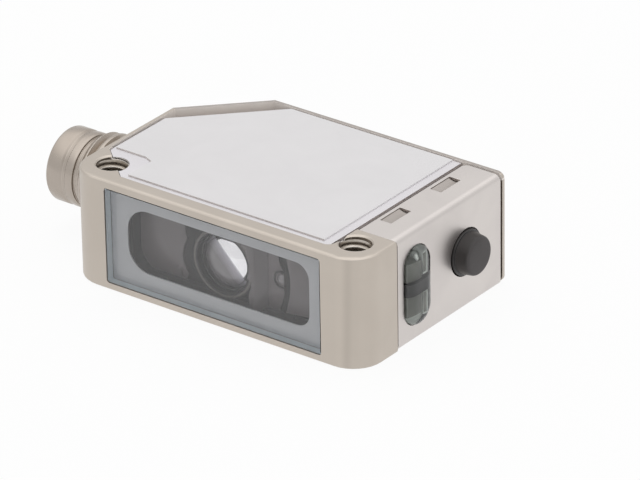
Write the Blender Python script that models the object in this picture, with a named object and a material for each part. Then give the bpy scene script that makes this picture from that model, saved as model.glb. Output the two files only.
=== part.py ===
"""Compact reflective mark sensor in a nickel-plated metal body.

The sensor lies on its broad side. X runs along the optical face, from the round
plug connector to the end with the push button, Y runs from the optical face to
the back, and Z is the thickness. Sizes below are in millimetres and become metres
when a mesh is made. The model stands on z = 0, centred on its overall box in X and Y.
"""

import math

import bmesh
import bpy
from mathutils import Matrix, Vector

MM = 0.001
ROOT2 = math.sqrt(2.0)

# Overall body
FRAME_LENGTH = 45.0
BODY_DEPTH = 30.0
THICKNESS = 15.0
FRAME_DEPTH = 7.4
CORNER_RADIUS = 4.2
FRAME_EDGE_RADIUS = 0.45
LEFT_STEP = 0.4
COVER_STEP = 0.3
PLUG_TO_CORNER = 7.85
RIM = 0.45

# Clearances
SEAM = 0.12
SEAT_GAP = 0.15
FILM_GAP = 0.05
SLIDE_GAP = 0.15

# Threaded mounting holes
HOLE_RADIUS = 2.0
HOLE_INSET_X = 3.9
HOLE_INSET_Y = 4.4
HOLE_BEVEL = 0.2
BOSS_WALL = 1.3

# Side plate and label
PLATE_THICKNESS = 0.4
PLATE_DROP = 0.2
PLATE_FRONT = 2.15
PLATE_LEFT_GAP = 0.3
PLATE_END_GAP = 0.35
PLATE_CORNER = 1.0
CHAMFER_BAND = 2.4
NOTCH_BACK = 7.4
NOTCH_RIGHT = 7.1
GROOVE_DEPTH = 1.5
GROOVE_FRONT_WALL = 0.6
SEAT_WIDTH = 1.0
LABEL_THICKNESS = 0.1
LABEL_MARGIN = 0.32
LABEL_FRONT_MARGIN = 0.95
LABEL_END_MARGIN = 1.6
LABEL_NOTCH_X = 7.45
LABEL_NOTCH_Y = 8.2
LABEL_NOTCH_CUT = (1.35, 0.55)

# Folded end cover
SHEET = 0.35
COVER_RETURN = 5.35
COVER_DROP = 0.05
BEND_RADIUS = 0.9
COVER_BACK_GAP = 0.4
COVER_CORNER = 0.8
SLOT_LENGTH = 4.1
SLOT_WIDTH = 1.7
SLOT_INSET = 0.45
SLOT_FROM_FRONT = 5.55
SLOT_FROM_BACK = 5.88
HOOK_WIDTH = 1.4
HOOK_HIGH = 0.42
HOOK_LOW = 0.05
HOOK_GAP = 0.2
HOOK_ROOT = 0.3

# Front window
WINDOW_SIDE = 6.0
WINDOW_MARGIN = 1.0
WINDOW_CORNER = 0.4
GLASS_DROP = 0.15
GLASS_THICKNESS = 2.0
MASK_THICKNESS = 0.15
GASKET_THICKNESS = 0.4
LEDGE = 1.3
FRONT_WALL = 3.7
BORDER_END = 2.6
BORDER_SIDE = 2.225
CLEAR_RADIUS_LEFT = 3.2
CLEAR_RADIUS_RIGHT = 2.0

# Shell walls
FLOOR = 1.3
LEFT_WALL = 2.6
SHELF = 1.0
END_WEB = 0.5
GAP_GROOVE = 0.5

# Plug connector
NOSE_RADIUS = 4.9
NOSE_TIP = 10.6
NOSE_BEVEL = 0.3
NECK = 6.1
NECK_RADIUS = 4.5
NECK_WIDTH = 0.45
LATCH_GROOVE = 8.0
LATCH_GROOVE_WIDTH = 0.35
LATCH_GROOVE_DEPTH = 0.25
THREAD_RADIUS = 5.6
THREAD_BEVEL = 0.3
PLUG_BORE_RADIUS = 4.1
SPIGOT_RADIUS = 4.3
TAIL_RADIUS = 3.55
INSERT_DEPTH = 8.4
INSERT_HEAD = 1.25
PIN_RADIUS = 0.5
PIN_CIRCLE = 2.3
PIN_DEPTH = 2.6
PIN_TAIL = 0.4
PIN_COUNT = 4
KEY_WIDTH = 1.2
KEY_HEIGHT = 0.6
KEY_DEPTH = 1.6
O_RING_SECTION = 0.4
NUT_THICKNESS = 1.4
NUT_RADIUS = 5.2
NUT_NOTCH = 1.0
NUT_NOTCH_DEPTH = 0.4
PLUG_BOARD_RADIUS = 4.2
PLUG_BOARD = 0.8

# Indicator window
PIPE_FRONT_GAP = 0.75
PIPE_DROP = 0.1
PIPE_HALF_WIDTH = 2.4
PIPE_HALF_LENGTH = 5.25
PIPE_STANDS_OUT = 0.9
PIPE_EDGE = 0.35
PIPE_FLANGE = 0.6
PIPE_FLANGE_THICKNESS = 0.9
PIPE_FLANGE_HALF_LENGTH = 4.0
PIPE_STUB_RADIUS = 1.2
PIPE_STUB_SPACING = 5.0
DIVIDER_HEIGHT = 1.7
DIVIDER_DROP = 0.2

# Push button and its switch
CAP_RADIUS = 2.75
CAP_STANDS_OUT = 2.1
CAP_EDGE = 0.25
COLLAR_RADIUS = 3.0
COLLAR_STANDS_OUT = 0.3
COLLAR_EDGE = 0.1
BUTTON_FLANGE_RADIUS = 3.8
BUTTON_FLANGE_THICKNESS = 0.7
BUTTON_STEM_RADIUS = 1.2
BUTTON_TRAVEL = 0.5
PLUNGER_RADIUS = 1.0
PLUNGER_LENGTH = 1.5
PLUNGER_SPARE = 0.1
SWITCH_SIDE = 6.0
SWITCH_HEIGHT = 2.2

# Inner end wall, boards and parts on them
END_WALL = 1.8
END_WALL_CORNER = 0.6
BOARD = 1.0
LED_SIDE = 2.0
LED_HEIGHT = 0.8
BOARD_SPACE = 2.6
PROCESSOR_SIDE = 6.0
PROCESSOR_HEIGHT = 0.9
PROCESSOR_OFFSET = 6.5
DRIVER_LENGTH = 5.0
DRIVER_WIDTH = 4.0
DRIVER_HEIGHT = 1.2
DRIVER_OFFSET = 4.5
LINK_LENGTH = 3.4
LINK_DEPTH = 2.0
LINK_HEIGHT = 8.0
FLEX_THICKNESS = 0.2
FLEX_WIDTH = 3.6
FLEX_BEND = 1.5
FLEX_LAP = 1.9
FLEX_REACH = 3.0

# Optics
LENS_RADIUS = 3.3
LENS_FLANGE_RADIUS = 3.7
LENS_RIM_Y = 4.4
LENS_EDGE = 0.9
LENS_CROWN = 1.3
LENS_RING_THICKNESS = 0.5
BARREL_FRONT_Y = 3.2
BARREL_BORE = 3.9
BARREL_WALL = 0.6
PANEL_Y = 4.6
CARRIER_SIDE_GAP = 0.2
CARRIER_FLANGE = 2.75
CARRIER_RIM = 0.6
CORE_LEFT = 8.9
CORE_RIGHT = 5.4
CORE_DEPTH = 12.0
CHANNEL_RADIUS = 2.9
SIDE_CHANNEL_RADIUS = 2.2
SPLITTER_DEPTH = 6.9
SPLITTER_THICKNESS = 0.5
SPLITTER_LENGTH = 6.6
SPLITTER_HEIGHT = 4.6
MONITOR_OFFSET = 8.0
MONITOR_DROP = 0.3
MONITOR_RADIUS = 0.85
MONITOR_LENGTH = 1.2
LEFT_POCKET = 3.0
LEFT_POCKET_DEPTH = 1.5
RIB_OFFSET = 9.5
RIB_WIDTH = 1.3
EMITTER_RADIUS = 2.45
EMITTER_EDGE = 0.6
EMITTER_CROWN = 0.9
EMITTER_BOARD_DEPTH = 6.0
EMITTER_BOARD_HEIGHT = 9.0
EMITTER_LENS_X = 5.2
APERTURE_SIDE = 8.0
APERTURE_THICKNESS = 0.3
APERTURE_RADIUS = 0.5
RECEIVER_SIDE = 3.2
RECEIVER_HEIGHT = 1.95
LEG_WIDTH = 1.6
LEG_HEIGHT = 1.8

FACETS = 48
SMALL_FACETS = 20
ARC_STEPS = 8
BEYOND = 1.0

# Body values that follow from the sizes above
MID_Z = THICKNESS / 2
HOLES = ((HOLE_INSET_X, HOLE_INSET_Y), (FRAME_LENGTH - HOLE_INSET_X, HOLE_INSET_Y))
BOSS_RADIUS = HOLE_RADIUS + BOSS_WALL
PLUG_Y = HOLE_INSET_Y + BOSS_RADIUS + NUT_RADIUS + SEAT_GAP
CHAMFER = BODY_DEPTH - PLUG_Y - PLUG_TO_CORNER
RIM_INSIDE = BODY_DEPTH - RIM
COVER_FACE = FRAME_LENGTH - COVER_STEP
COVER_INNER = COVER_FACE - SHEET
COVER_SEAT = COVER_INNER - SEAM
COVER_EDGE_X = COVER_FACE - COVER_RETURN
COVER_FRONT = FRAME_DEPTH + SEAM
COVER_BACK = RIM_INSIDE - COVER_BACK_GAP
COVER_TOP = THICKNESS - COVER_DROP
SLOT_X0 = COVER_EDGE_X + SLOT_INSET
SLOT_CENTRES = (COVER_FRONT + SLOT_FROM_FRONT, COVER_BACK - SLOT_FROM_BACK)
PLATE_LEFT = LEFT_STEP + RIM + PLATE_LEFT_GAP
PLATE_RIGHT = COVER_EDGE_X - PLATE_END_GAP
PLATE_BACK = RIM_INSIDE - SEAM
PLATE_TOP = THICKNESS - PLATE_DROP
PLATE_BASE = PLATE_TOP - PLATE_THICKNESS
WINDOW_X0 = WINDOW_SIDE
WINDOW_X1 = FRAME_LENGTH - WINDOW_SIDE
CLEAR_LENGTH = WINDOW_X1 - WINDOW_X0 - 2 * BORDER_END
WINDOW_Z0 = WINDOW_MARGIN
WINDOW_Z1 = THICKNESS - WINDOW_MARGIN
CLEAR_HEIGHT = WINDOW_Z1 - WINDOW_Z0 - 2 * BORDER_SIDE
MASK_Y = GLASS_DROP + GLASS_THICKNESS + FILM_GAP
GASKET_Y = MASK_Y + MASK_THICKNESS + FILM_GAP
RECESS_BACK = GASKET_Y + GASKET_THICKNESS + FILM_GAP
CAVITY_X0 = LEFT_STEP + LEFT_WALL
CAVITY_X1 = PLATE_RIGHT - SEAT_WIDTH
CAVITY_BACK = RIM_INSIDE - SEAT_WIDTH
SHELF_TOP = COVER_TOP - SHEET - SEAM
SHELF_BASE = SHELF_TOP - SHELF
END_FRONT = FRAME_DEPTH + END_WEB

# Values behind the end cover
PIPE_Z = MID_Z - PIPE_DROP
PIPE_Y = END_FRONT + PIPE_FRONT_GAP + PIPE_FLANGE + PIPE_HALF_WIDTH
BUTTON_Y = (PIPE_Y + PIPE_HALF_WIDTH + PIPE_FLANGE + COVER_BACK) / 2
END_WALL_FRONT = COVER_INNER - SLIDE_GAP
END_WALL_BACK = END_WALL_FRONT - END_WALL
END_WALL_BASE = THICKNESS - SHELF_BASE + SEAT_GAP
END_WALL_TOP = SHELF_BASE - SEAT_GAP
END_WALL_Y0 = END_FRONT + SEAT_GAP
END_WALL_Y1 = CAVITY_BACK - SEAT_GAP
BUTTON_FLANGE_FRONT = COVER_INNER - SLIDE_GAP
BUTTON_FLANGE_BACK = BUTTON_FLANGE_FRONT - BUTTON_FLANGE_THICKNESS
SWITCH_TOP = END_WALL_BACK - SEAT_GAP
SWITCH_BASE = SWITCH_TOP - SWITCH_HEIGHT
PLUNGER_FRONT = SWITCH_TOP + BUTTON_TRAVEL + PLUNGER_SPARE
STEM_BACK = PLUNGER_FRONT + FILM_GAP
END_BOARD_X1 = SWITCH_BASE - FILM_GAP
END_BOARD_X0 = END_BOARD_X1 - BOARD

# Values behind the window
LENS_X = FRAME_LENGTH / 2
CARRIER_FRONT = FRONT_WALL + SEAT_GAP
CARRIER_X0 = WINDOW_X0 + LEDGE + CARRIER_SIDE_GAP
CARRIER_X1 = WINDOW_X1 - LEDGE - CARRIER_SIDE_GAP
CARRIER_BASE = FLOOR + SEAT_GAP
CARRIER_TOP = PLATE_BASE - SEAT_GAP
CORE_X0 = LENS_X - CORE_LEFT
CORE_X1 = LENS_X + CORE_RIGHT
CORE_BACK = PANEL_Y + CORE_DEPTH
LENS_SEAT = LENS_RIM_Y + LENS_EDGE + FILM_GAP
SPLITTER_Y = PANEL_Y + SPLITTER_DEPTH
EMITTER_X = LENS_X - EMITTER_LENS_X
EMITTER_LED_X = EMITTER_X - SEAT_GAP - LED_HEIGHT
EMITTER_BOARD_X1 = EMITTER_LED_X - FILM_GAP
EMITTER_BOARD_X0 = EMITTER_BOARD_X1 - BOARD
MAIN_BOARD_Y = CORE_BACK + BOARD_SPACE
PROCESSOR_X = LENS_X - PROCESSOR_OFFSET
DRIVER_X = LENS_X + DRIVER_OFFSET

# Values of the plug
PLUG_TIP = LEFT_STEP - NOSE_TIP
PLUG_SHOULDER = LEFT_STEP - SEAM
NUT_X0 = CAVITY_X0 + SEAT_GAP
SPIGOT_END = NUT_X0 + NUT_THICKNESS + SEAT_GAP
INSERT_FACE = PLUG_TIP + INSERT_DEPTH
INSERT_STEP = INSERT_FACE + INSERT_HEAD
PLUG_BOARD_X0 = SPIGOT_END + FILM_GAP
PLUG_BOARD_X1 = PLUG_BOARD_X0 + PLUG_BOARD

# The model's origin is under the middle of its overall box
MODEL_RIGHT = COVER_FACE + CAP_STANDS_OUT
MODEL_CENTRE = Vector(((PLUG_TIP + MODEL_RIGHT) / 2, BODY_DEPTH / 2, 0.0))

# Colour, roughness and metallic value of each material
MATERIALS = {
    "satin_nickel": ((0.48, 0.43, 0.38), 0.38, 1.0),
    "plate_steel": ((0.74, 0.73, 0.76), 0.25, 1.0),
    "cover_steel": ((0.62, 0.60, 0.58), 0.22, 1.0),
    "label_white": ((0.71, 0.70, 0.71), 0.55, 0.0),
    "window_glass": ((0.80, 0.86, 0.86), 0.05, 0.0),
    "window_mask": ((0.33, 0.35, 0.38), 0.45, 0.0),
    "black_rubber": ((0.02, 0.02, 0.02), 0.6, 0.0),
    "black_plastic": ((0.05, 0.05, 0.05), 0.45, 0.0),
    "smoked_plastic": ((0.15, 0.16, 0.15), 0.15, 0.0),
    "lens_glass": ((0.85, 0.88, 0.90), 0.05, 0.0),
    "board_green": ((0.02, 0.15, 0.07), 0.5, 0.0),
    "chip_black": ((0.03, 0.03, 0.03), 0.5, 0.0),
    "led_white": ((0.85, 0.83, 0.70), 0.4, 0.0),
    "gold_plate": ((0.83, 0.60, 0.26), 0.25, 1.0),
    "flex_amber": ((0.55, 0.28, 0.05), 0.4, 0.0),
    "nickel_brass": ((0.50, 0.46, 0.40), 0.35, 1.0),
}


def clear_scene():
    for old in list(bpy.data.objects):
        bpy.data.objects.remove(old, do_unlink=True)


def make_material(name):
    colour, roughness, metallic = MATERIALS[name]
    material = bpy.data.materials.new(name)
    material.use_nodes = True
    shader = material.node_tree.nodes["Principled BSDF"]
    shader.inputs["Base Color"].default_value = (*colour, 1.0)
    shader.inputs["Roughness"].default_value = roughness
    shader.inputs["Metallic"].default_value = metallic
    return material


def make_empty(name, place, parent=None):
    """An empty at a place in millimetres, to which the pieces of a body are parented."""
    empty = bpy.data.objects.new(name, None)
    empty.location = Vector(place) * MM
    empty.parent = parent
    bpy.context.collection.objects.link(empty)
    return empty


def make_object(name, mesh_in_mm, parent, material=None, at=(0.0, 0.0, 0.0), turn=(0.0, 0.0, 0.0)):
    """Turn a mesh in millimetres into an object; without a material it is a cutter."""
    bmesh.ops.recalc_face_normals(mesh_in_mm, faces=mesh_in_mm.faces)
    bmesh.ops.scale(mesh_in_mm, vec=(MM, MM, MM), verts=mesh_in_mm.verts)
    mesh = bpy.data.meshes.new(name)
    mesh_in_mm.to_mesh(mesh)
    mesh_in_mm.free()
    piece = bpy.data.objects.new(name, mesh)
    bpy.context.collection.objects.link(piece)
    piece.parent = parent
    piece.location = Vector(at) * MM
    piece.rotation_euler = turn
    if material is None:
        piece.hide_render = True
        piece.display_type = "WIRE"
    else:
        mesh.materials.append(material)
        shade_round(piece)
    return piece


def boolean(target, tool, operation="DIFFERENCE"):
    modifier = target.modifiers.new(f"{operation.lower()}_{tool.name}", "BOOLEAN")
    modifier.operation = operation
    modifier.object = tool
    modifier.solver = "EXACT"


def shade_round(piece, angle=35.0):
    piece.data.shade_smooth()
    piece.data.set_sharp_from_angle(angle=math.radians(angle))


def arc(centre_x, centre_y, radius, start, end, steps=ARC_STEPS):
    """Points of an arc from one angle to another, both in degrees."""
    points = []
    for step in range(steps + 1):
        angle = math.radians(start + (end - start) * step / steps)
        points.append((centre_x + radius * math.cos(angle), centre_y + radius * math.sin(angle)))
    return points


def rectangle(low_x, low_y, high_x, high_y, radius=0.0, steps=4):
    """Outline of a rectangle, its corners rounded where a radius is given."""
    if radius <= 0.0:
        return [(low_x, low_y), (high_x, low_y), (high_x, high_y), (low_x, high_y)]
    return (
        arc(high_x - radius, low_y + radius, radius, -90, 0, steps)
        + arc(high_x - radius, high_y - radius, radius, 0, 90, steps)
        + arc(low_x + radius, high_y - radius, radius, 90, 180, steps)
        + arc(low_x + radius, low_y + radius, radius, 180, 270, steps)
    )


def capsule(centre_y, centre_z, half_width, half_length, steps=12):
    reach = half_length - half_width
    upper = arc(centre_y, centre_z + reach, half_width, 0, 180, steps)
    lower = arc(centre_y, centre_z - reach, half_width, 180, 360, steps)
    return upper + lower


def moved_out(outline, distance):
    """The same outline with every edge moved outwards; a negative distance moves it in."""
    points = [Vector(point) for point in outline]
    result = []
    for index, point in enumerate(points):
        before = (point - points[index - 1]).normalized()
        after = (points[(index + 1) % len(points)] - point).normalized()
        normal_before = Vector((before.y, -before.x))
        normal_after = Vector((after.y, -after.x))
        mitre = (normal_before + normal_after) / (1.0 + normal_before.dot(normal_after))
        result.append(tuple(point + mitre * distance))
    return result


def prism(outline, low, high, along="Z"):
    """Extrude an outline from low to high along an axis."""
    mesh = bmesh.new()
    place = {
        "X": lambda u, v: (low, u, v),
        "Y": lambda u, v: (u, low, v),
        "Z": lambda u, v: (u, v, low),
    }[along]
    face = mesh.faces.new([mesh.verts.new(place(u, v)) for u, v in outline])
    grown = bmesh.ops.extrude_face_region(mesh, geom=[face])
    moved = [item for item in grown["geom"] if isinstance(item, bmesh.types.BMVert)]
    step = Vector([high - low if axis == along else 0.0 for axis in "XYZ"])
    bmesh.ops.translate(mesh, vec=step, verts=moved)
    return mesh


def block(low, high):
    return prism(rectangle(low[0], low[1], high[0], high[1]), low[2], high[2])


def bevel_edges(mesh, edges, radius, segments=3):
    bmesh.ops.bevel(
        mesh,
        geom=edges,
        offset=radius,
        offset_type="OFFSET",
        segments=segments,
        profile=0.5,
        affect="EDGES",
    )


def turned(profile, facets=FACETS, closed=True, along="X"):
    """Spin a profile of (distance along the axis, radius) points about an axis."""
    mesh = bmesh.new()
    verts = [mesh.verts.new((distance, 0.0, radius)) for distance, radius in profile]
    pairs = list(zip(verts, verts[1:]))
    if closed:
        pairs.append((verts[-1], verts[0]))
    edges = [mesh.edges.new(pair) for pair in pairs]
    bmesh.ops.spin(
        mesh,
        geom=verts + edges,
        cent=(0, 0, 0),
        axis=(1, 0, 0),
        angle=2 * math.pi,
        steps=facets,
        use_merge=True,
    )
    bmesh.ops.remove_doubles(mesh, verts=mesh.verts, dist=0.0005)
    turns = {
        "X": Matrix.Identity(4),
        "Y": Matrix.Rotation(math.pi / 2, 4, "Z"),
        "Z": Matrix.Rotation(-math.pi / 2, 4, "Y"),
    }
    bmesh.ops.transform(mesh, matrix=turns[along], verts=mesh.verts)
    return mesh


def rod(radius, low, high, facets=FACETS, along="X"):
    return turned([(low, 0.0), (low, radius), (high, radius), (high, 0.0)], facets, False, along)


def tube(inner, outer, low, high, facets=FACETS, along="X"):
    return turned([(low, inner), (low, outer), (high, outer), (high, inner)], facets, True, along)


def dome(radius, crown, rim, steps=8):
    """Profile points of a spherical crown, from its tip towards its rim."""
    sphere = (radius * radius + crown * crown) / (2 * crown)
    points = []
    for step in range(steps + 1):
        out = radius * step / steps
        rise = math.sqrt(sphere * sphere - out * out) - (sphere - crown)
        points.append((rim - rise, out))
    return points


def chamfer_x(y, band):
    """Where the line at a distance inside the cut corner crosses y."""
    return y - (BODY_DEPTH - CHAMFER - LEFT_STEP - band * ROOT2)


def chamfer_y(x, band):
    return x + (BODY_DEPTH - CHAMFER - LEFT_STEP - band * ROOT2)


def frame_outline():
    """The front frame seen from above, with its two large rounded corners."""
    radius = CORNER_RADIUS
    return (
        arc(radius, radius, radius, 180, 270)
        + arc(FRAME_LENGTH - radius, radius, radius, 270, 360)
        + [(FRAME_LENGTH, FRAME_DEPTH), (0.0, FRAME_DEPTH)]
    )


def rear_outline():
    """The thin-walled rear body seen from above, with its cut corner."""
    front = FRAME_DEPTH - SEAT_WIDTH
    return [
        (LEFT_STEP, front),
        (COVER_FACE, front),
        (COVER_FACE, BODY_DEPTH),
        (LEFT_STEP + CHAMFER, BODY_DEPTH),
        (LEFT_STEP, BODY_DEPTH - CHAMFER),
    ]


def plate_outline():
    """The side plate, cut at the plug's corner and diagonally past the left hole."""
    corner = PLATE_CORNER
    front_right = arc(PLATE_RIGHT - corner, PLATE_FRONT + corner, corner, 270, 360, 6)
    return [
        (NOTCH_RIGHT, PLATE_FRONT),
        *front_right,
        (PLATE_RIGHT, PLATE_BACK),
        (chamfer_x(PLATE_BACK, CHAMFER_BAND), PLATE_BACK),
        (PLATE_LEFT, chamfer_y(PLATE_LEFT, CHAMFER_BAND)),
        (PLATE_LEFT, NOTCH_BACK),
    ]


def label_outline():
    """The blank label, set back from the plate's edges and notched beside the left hole."""
    left = PLATE_LEFT + LABEL_MARGIN
    right = PLATE_RIGHT - LABEL_END_MARGIN
    front = PLATE_FRONT + LABEL_FRONT_MARGIN
    back = PLATE_BACK - LABEL_MARGIN / 2
    band = CHAMFER_BAND + LABEL_MARGIN
    cut_x, cut_y = LABEL_NOTCH_CUT
    return [
        (LABEL_NOTCH_X, front),
        (right, front),
        (right, back),
        (chamfer_x(back, band), back),
        (left, chamfer_y(left, band)),
        (left, LABEL_NOTCH_Y),
        (LABEL_NOTCH_X - cut_x, LABEL_NOTCH_Y),
        (LABEL_NOTCH_X, LABEL_NOTCH_Y - cut_y),
    ]


def groove_outline():
    """The open groove between the thin rim and the plate's seat, along the left and the cut corner."""
    front = FRAME_DEPTH + GROOVE_FRONT_WALL
    outer = LEFT_STEP + RIM
    inner = PLATE_LEFT + PLATE_LEFT_GAP
    band = CHAMFER_BAND + PLATE_LEFT_GAP
    return [
        (outer, front),
        (inner, front),
        (inner, chamfer_y(inner, band)),
        (chamfer_x(RIM_INSIDE, band), RIM_INSIDE),
        (chamfer_x(RIM_INSIDE, RIM), RIM_INSIDE),
        (outer, chamfer_y(outer, RIM)),
    ]


def cavity_outline():
    """The space under the side plate, which runs round the two bosses."""
    left_x, boss_y = HOLES[0]
    right_x = HOLES[1][0]
    front = math.degrees(math.asin((boss_y - FRONT_WALL) / BOSS_RADIUS))
    left_side = math.degrees(math.acos((CAVITY_X0 - left_x) / BOSS_RADIUS))
    right_side = math.degrees(math.acos((CAVITY_X1 - right_x) / BOSS_RADIUS))
    band = CHAMFER_BAND + PLATE_LEFT_GAP + SEAT_WIDTH
    return [
        *arc(left_x, boss_y, BOSS_RADIUS, left_side, -front),
        *arc(right_x, boss_y, BOSS_RADIUS, 180 + front, right_side),
        (CAVITY_X1, CAVITY_BACK),
        (chamfer_x(CAVITY_BACK, band), CAVITY_BACK),
        (CAVITY_X0, chamfer_y(CAVITY_X0, band)),
    ]


def cover_corner_outline():
    """What is cut off to round the back corner of both cover returns."""
    radius = COVER_CORNER
    left = COVER_EDGE_X
    back = COVER_BACK
    return [
        (left - BEYOND, back + BEYOND),
        (left - BEYOND, back - radius),
        *arc(left + radius, back - radius, radius, 180, 90, 5),
        (left + radius, back + BEYOND),
    ]


def cover_seat_outline():
    """What is taken off the body's end so that the folded cover fits round it."""
    bend = BEND_RADIUS - SHEET - SEAM
    centre_x = COVER_SEAT - bend
    return [
        (PLATE_RIGHT, THICKNESS - SHELF_TOP),
        *arc(centre_x, THICKNESS - SHELF_TOP + bend, bend, 270, 360, 5),
        *arc(centre_x, SHELF_TOP - bend, bend, 0, 90, 5),
        (PLATE_RIGHT, SHELF_TOP),
        (PLATE_RIGHT, THICKNESS + BEYOND),
        (FRAME_LENGTH + BEYOND, THICKNESS + BEYOND),
        (FRAME_LENGTH + BEYOND, -BEYOND),
        (PLATE_RIGHT, -BEYOND),
    ]


def cover_profile(outer):
    """Side view of the folded cover: two returns and two bends, as its outer or inner line."""
    shift = 0.0 if outer else SHEET
    face = COVER_FACE - shift
    top = COVER_TOP - shift
    base = COVER_DROP + shift
    bend = BEND_RADIUS - shift
    return [
        (COVER_EDGE_X, base),
        *arc(face - bend, base + bend, bend, 270, 360, 6),
        *arc(face - bend, top - bend, bend, 0, 90, 6),
        (COVER_EDGE_X, top),
    ]


def clear_window():
    """The clear opening of the grey border, rounder at its plug end."""
    left = LENS_X - CLEAR_LENGTH / 2
    right = LENS_X + CLEAR_LENGTH / 2
    base = MID_Z - CLEAR_HEIGHT / 2
    top = MID_Z + CLEAR_HEIGHT / 2
    plug_end = CLEAR_RADIUS_LEFT
    button_end = CLEAR_RADIUS_RIGHT
    return [
        *arc(right - button_end, base + button_end, button_end, 270, 360),
        *arc(right - button_end, top - button_end, button_end, 0, 90),
        *arc(left + plug_end, top - plug_end, plug_end, 90, 180),
        *arc(left + plug_end, base + plug_end, plug_end, 180, 270),
    ]


def frame_form():
    mesh = prism(frame_outline(), 0.0, THICKNESS)
    rounded = []
    for edge in mesh.edges:
        first, second = (vert.co for vert in edge.verts)
        level = abs(first.z - second.z) < FILM_GAP
        at_back = min(first.y, second.y) > FRAME_DEPTH - FILM_GAP
        if level and not at_back:
            rounded.append(edge)
    bevel_edges(mesh, rounded, FRAME_EDGE_RADIUS)
    return mesh


def rear_form():
    mesh = prism(rear_outline(), 0.0, THICKNESS)
    bends = []
    for edge in mesh.edges:
        first, second = (vert.co for vert in edge.verts)
        at_end = min(first.x, second.x) > COVER_FACE - FILM_GAP
        if at_end and abs(first.z - second.z) < FILM_GAP:
            bends.append(edge)
    bevel_edges(mesh, bends, BEND_RADIUS, 6)
    return mesh


def hook_form(centre, side):
    """Latch wedge that stands in a slot of the cover, high at the plate and low at the end."""
    middle = SLOT_X0 + SLOT_WIDTH / 2
    plate_end = middle - HOOK_WIDTH / 2
    far_end = middle + HOOK_WIDTH / 2
    profile = [
        (plate_end, SHELF_TOP - HOOK_ROOT),
        (far_end, SHELF_TOP - HOOK_ROOT),
        (far_end, SHELF_TOP + HOOK_LOW),
        (plate_end, SHELF_TOP + HOOK_HIGH),
    ]
    if side == "under":
        profile = [(x, THICKNESS - z) for x, z in profile]
    front = centre - SLOT_LENGTH / 2 + HOOK_GAP / 2
    back = centre + SLOT_LENGTH / 2 - 2 * HOOK_GAP
    return prism(profile, front, back, "Y")


def hole_form():
    """A through hole with a small bevel at each face."""
    flare = HOLE_RADIUS + HOLE_BEVEL + BEYOND
    return turned(
        [
            (-BEYOND, 0.0),
            (-BEYOND, flare),
            (HOLE_BEVEL, HOLE_RADIUS),
            (THICKNESS - HOLE_BEVEL, HOLE_RADIUS),
            (THICKNESS + BEYOND, flare),
            (THICKNESS + BEYOND, 0.0),
        ],
        closed=False,
        along="Z",
    )


def plug_bore_form():
    """The plug's bore through the left wall, with the counterbore of its seal."""
    seal_radius = SPIGOT_RADIUS + 2 * O_RING_SECTION + SEAT_GAP
    seal_depth = LEFT_STEP + 2 * O_RING_SECTION + SEAT_GAP
    bore = SPIGOT_RADIUS + SEAT_GAP
    return turned(
        [
            (-BEYOND, 0.0),
            (-BEYOND, seal_radius),
            (seal_depth, seal_radius),
            (seal_depth, bore),
            (CAVITY_X0 + BEYOND, bore),
            (CAVITY_X0 + BEYOND, 0.0),
        ],
        closed=False,
    )


def window_form(inset, back):
    outline = rectangle(
        WINDOW_X0 + inset, WINDOW_Z0 + inset, WINDOW_X1 - inset, WINDOW_Z1 - inset, WINDOW_CORNER
    )
    return prism(outline, -BEYOND, back, "Y")


def shell_cutters():
    """Everything that is taken out of the housing, by name."""
    far_x = FRAME_LENGTH + BEYOND
    above = THICKNESS + BEYOND
    recess_base = PLATE_BASE - SEAM
    recess = moved_out(plate_outline(), SEAM)
    groove = SHELF_TOP - GAP_GROOVE
    return {
        "window_recess": window_form(0.0, RECESS_BACK),
        "window_opening": window_form(LEDGE, FRONT_WALL + BEYOND),
        "plate_recess": prism(recess, recess_base, above),
        "rim_groove": prism(groove_outline(), THICKNESS - GROOVE_DEPTH, above),
        "main_cavity": prism(cavity_outline(), FLOOR, above),
        "end_cavity": block(
            (CAVITY_X1 - SEAT_GAP, END_FRONT, THICKNESS - SHELF_BASE), (far_x, CAVITY_BACK, SHELF_BASE)
        ),
        "cover_seat": prism(cover_seat_outline(), FRAME_DEPTH, RIM_INSIDE, "Y"),
        "upper_edge_groove": block((PLATE_RIGHT, END_FRONT, groove), (COVER_EDGE_X, RIM_INSIDE, above)),
        "upper_back_groove": block((PLATE_RIGHT, COVER_BACK, groove), (far_x, RIM_INSIDE, above)),
        "lower_back_groove": block(
            (PLATE_RIGHT, COVER_BACK, -BEYOND), (far_x, RIM_INSIDE, THICKNESS - groove)
        ),
    }


def add_housing(root, metal):
    """Cast body: thick front frame with two threaded bosses, thin rim round the rear."""
    housing = make_object("housing", frame_form(), root, metal)
    boolean(housing, make_object("rear_form", rear_form(), root), "UNION")
    for name, cutter in shell_cutters().items():
        boolean(housing, make_object(name, cutter, root))
    for number, (x, y) in enumerate(HOLES, start=1):
        boolean(housing, make_object(f"mounting_hole_{number}", hole_form(), root, at=(x, y, 0.0)))
    boolean(housing, make_object("plug_bore", plug_bore_form(), root, at=(0.0, PLUG_Y, MID_Z)))
    for side in ("upper", "under"):
        for number, centre in enumerate(SLOT_CENTRES, start=1):
            hook = make_object(f"{side}_hook_{number}", hook_form(centre, side), root)
            boolean(housing, hook, "UNION")
    return housing


def add_side_plate(root, metal):
    plate = make_object("side_plate", prism(plate_outline(), PLATE_BASE, PLATE_TOP), root, metal)
    x, y = HOLES[0]
    notch = rod(HOLE_RADIUS + SEAM, -BEYOND, THICKNESS + BEYOND, along="Z")
    boolean(plate, make_object("plate_notch", notch, root, at=(x, y, 0.0)))


def add_label(root, film):
    base = PLATE_TOP + FILM_GAP
    make_object("label_film", prism(label_outline(), base, base + LABEL_THICKNESS), root, film)


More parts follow.
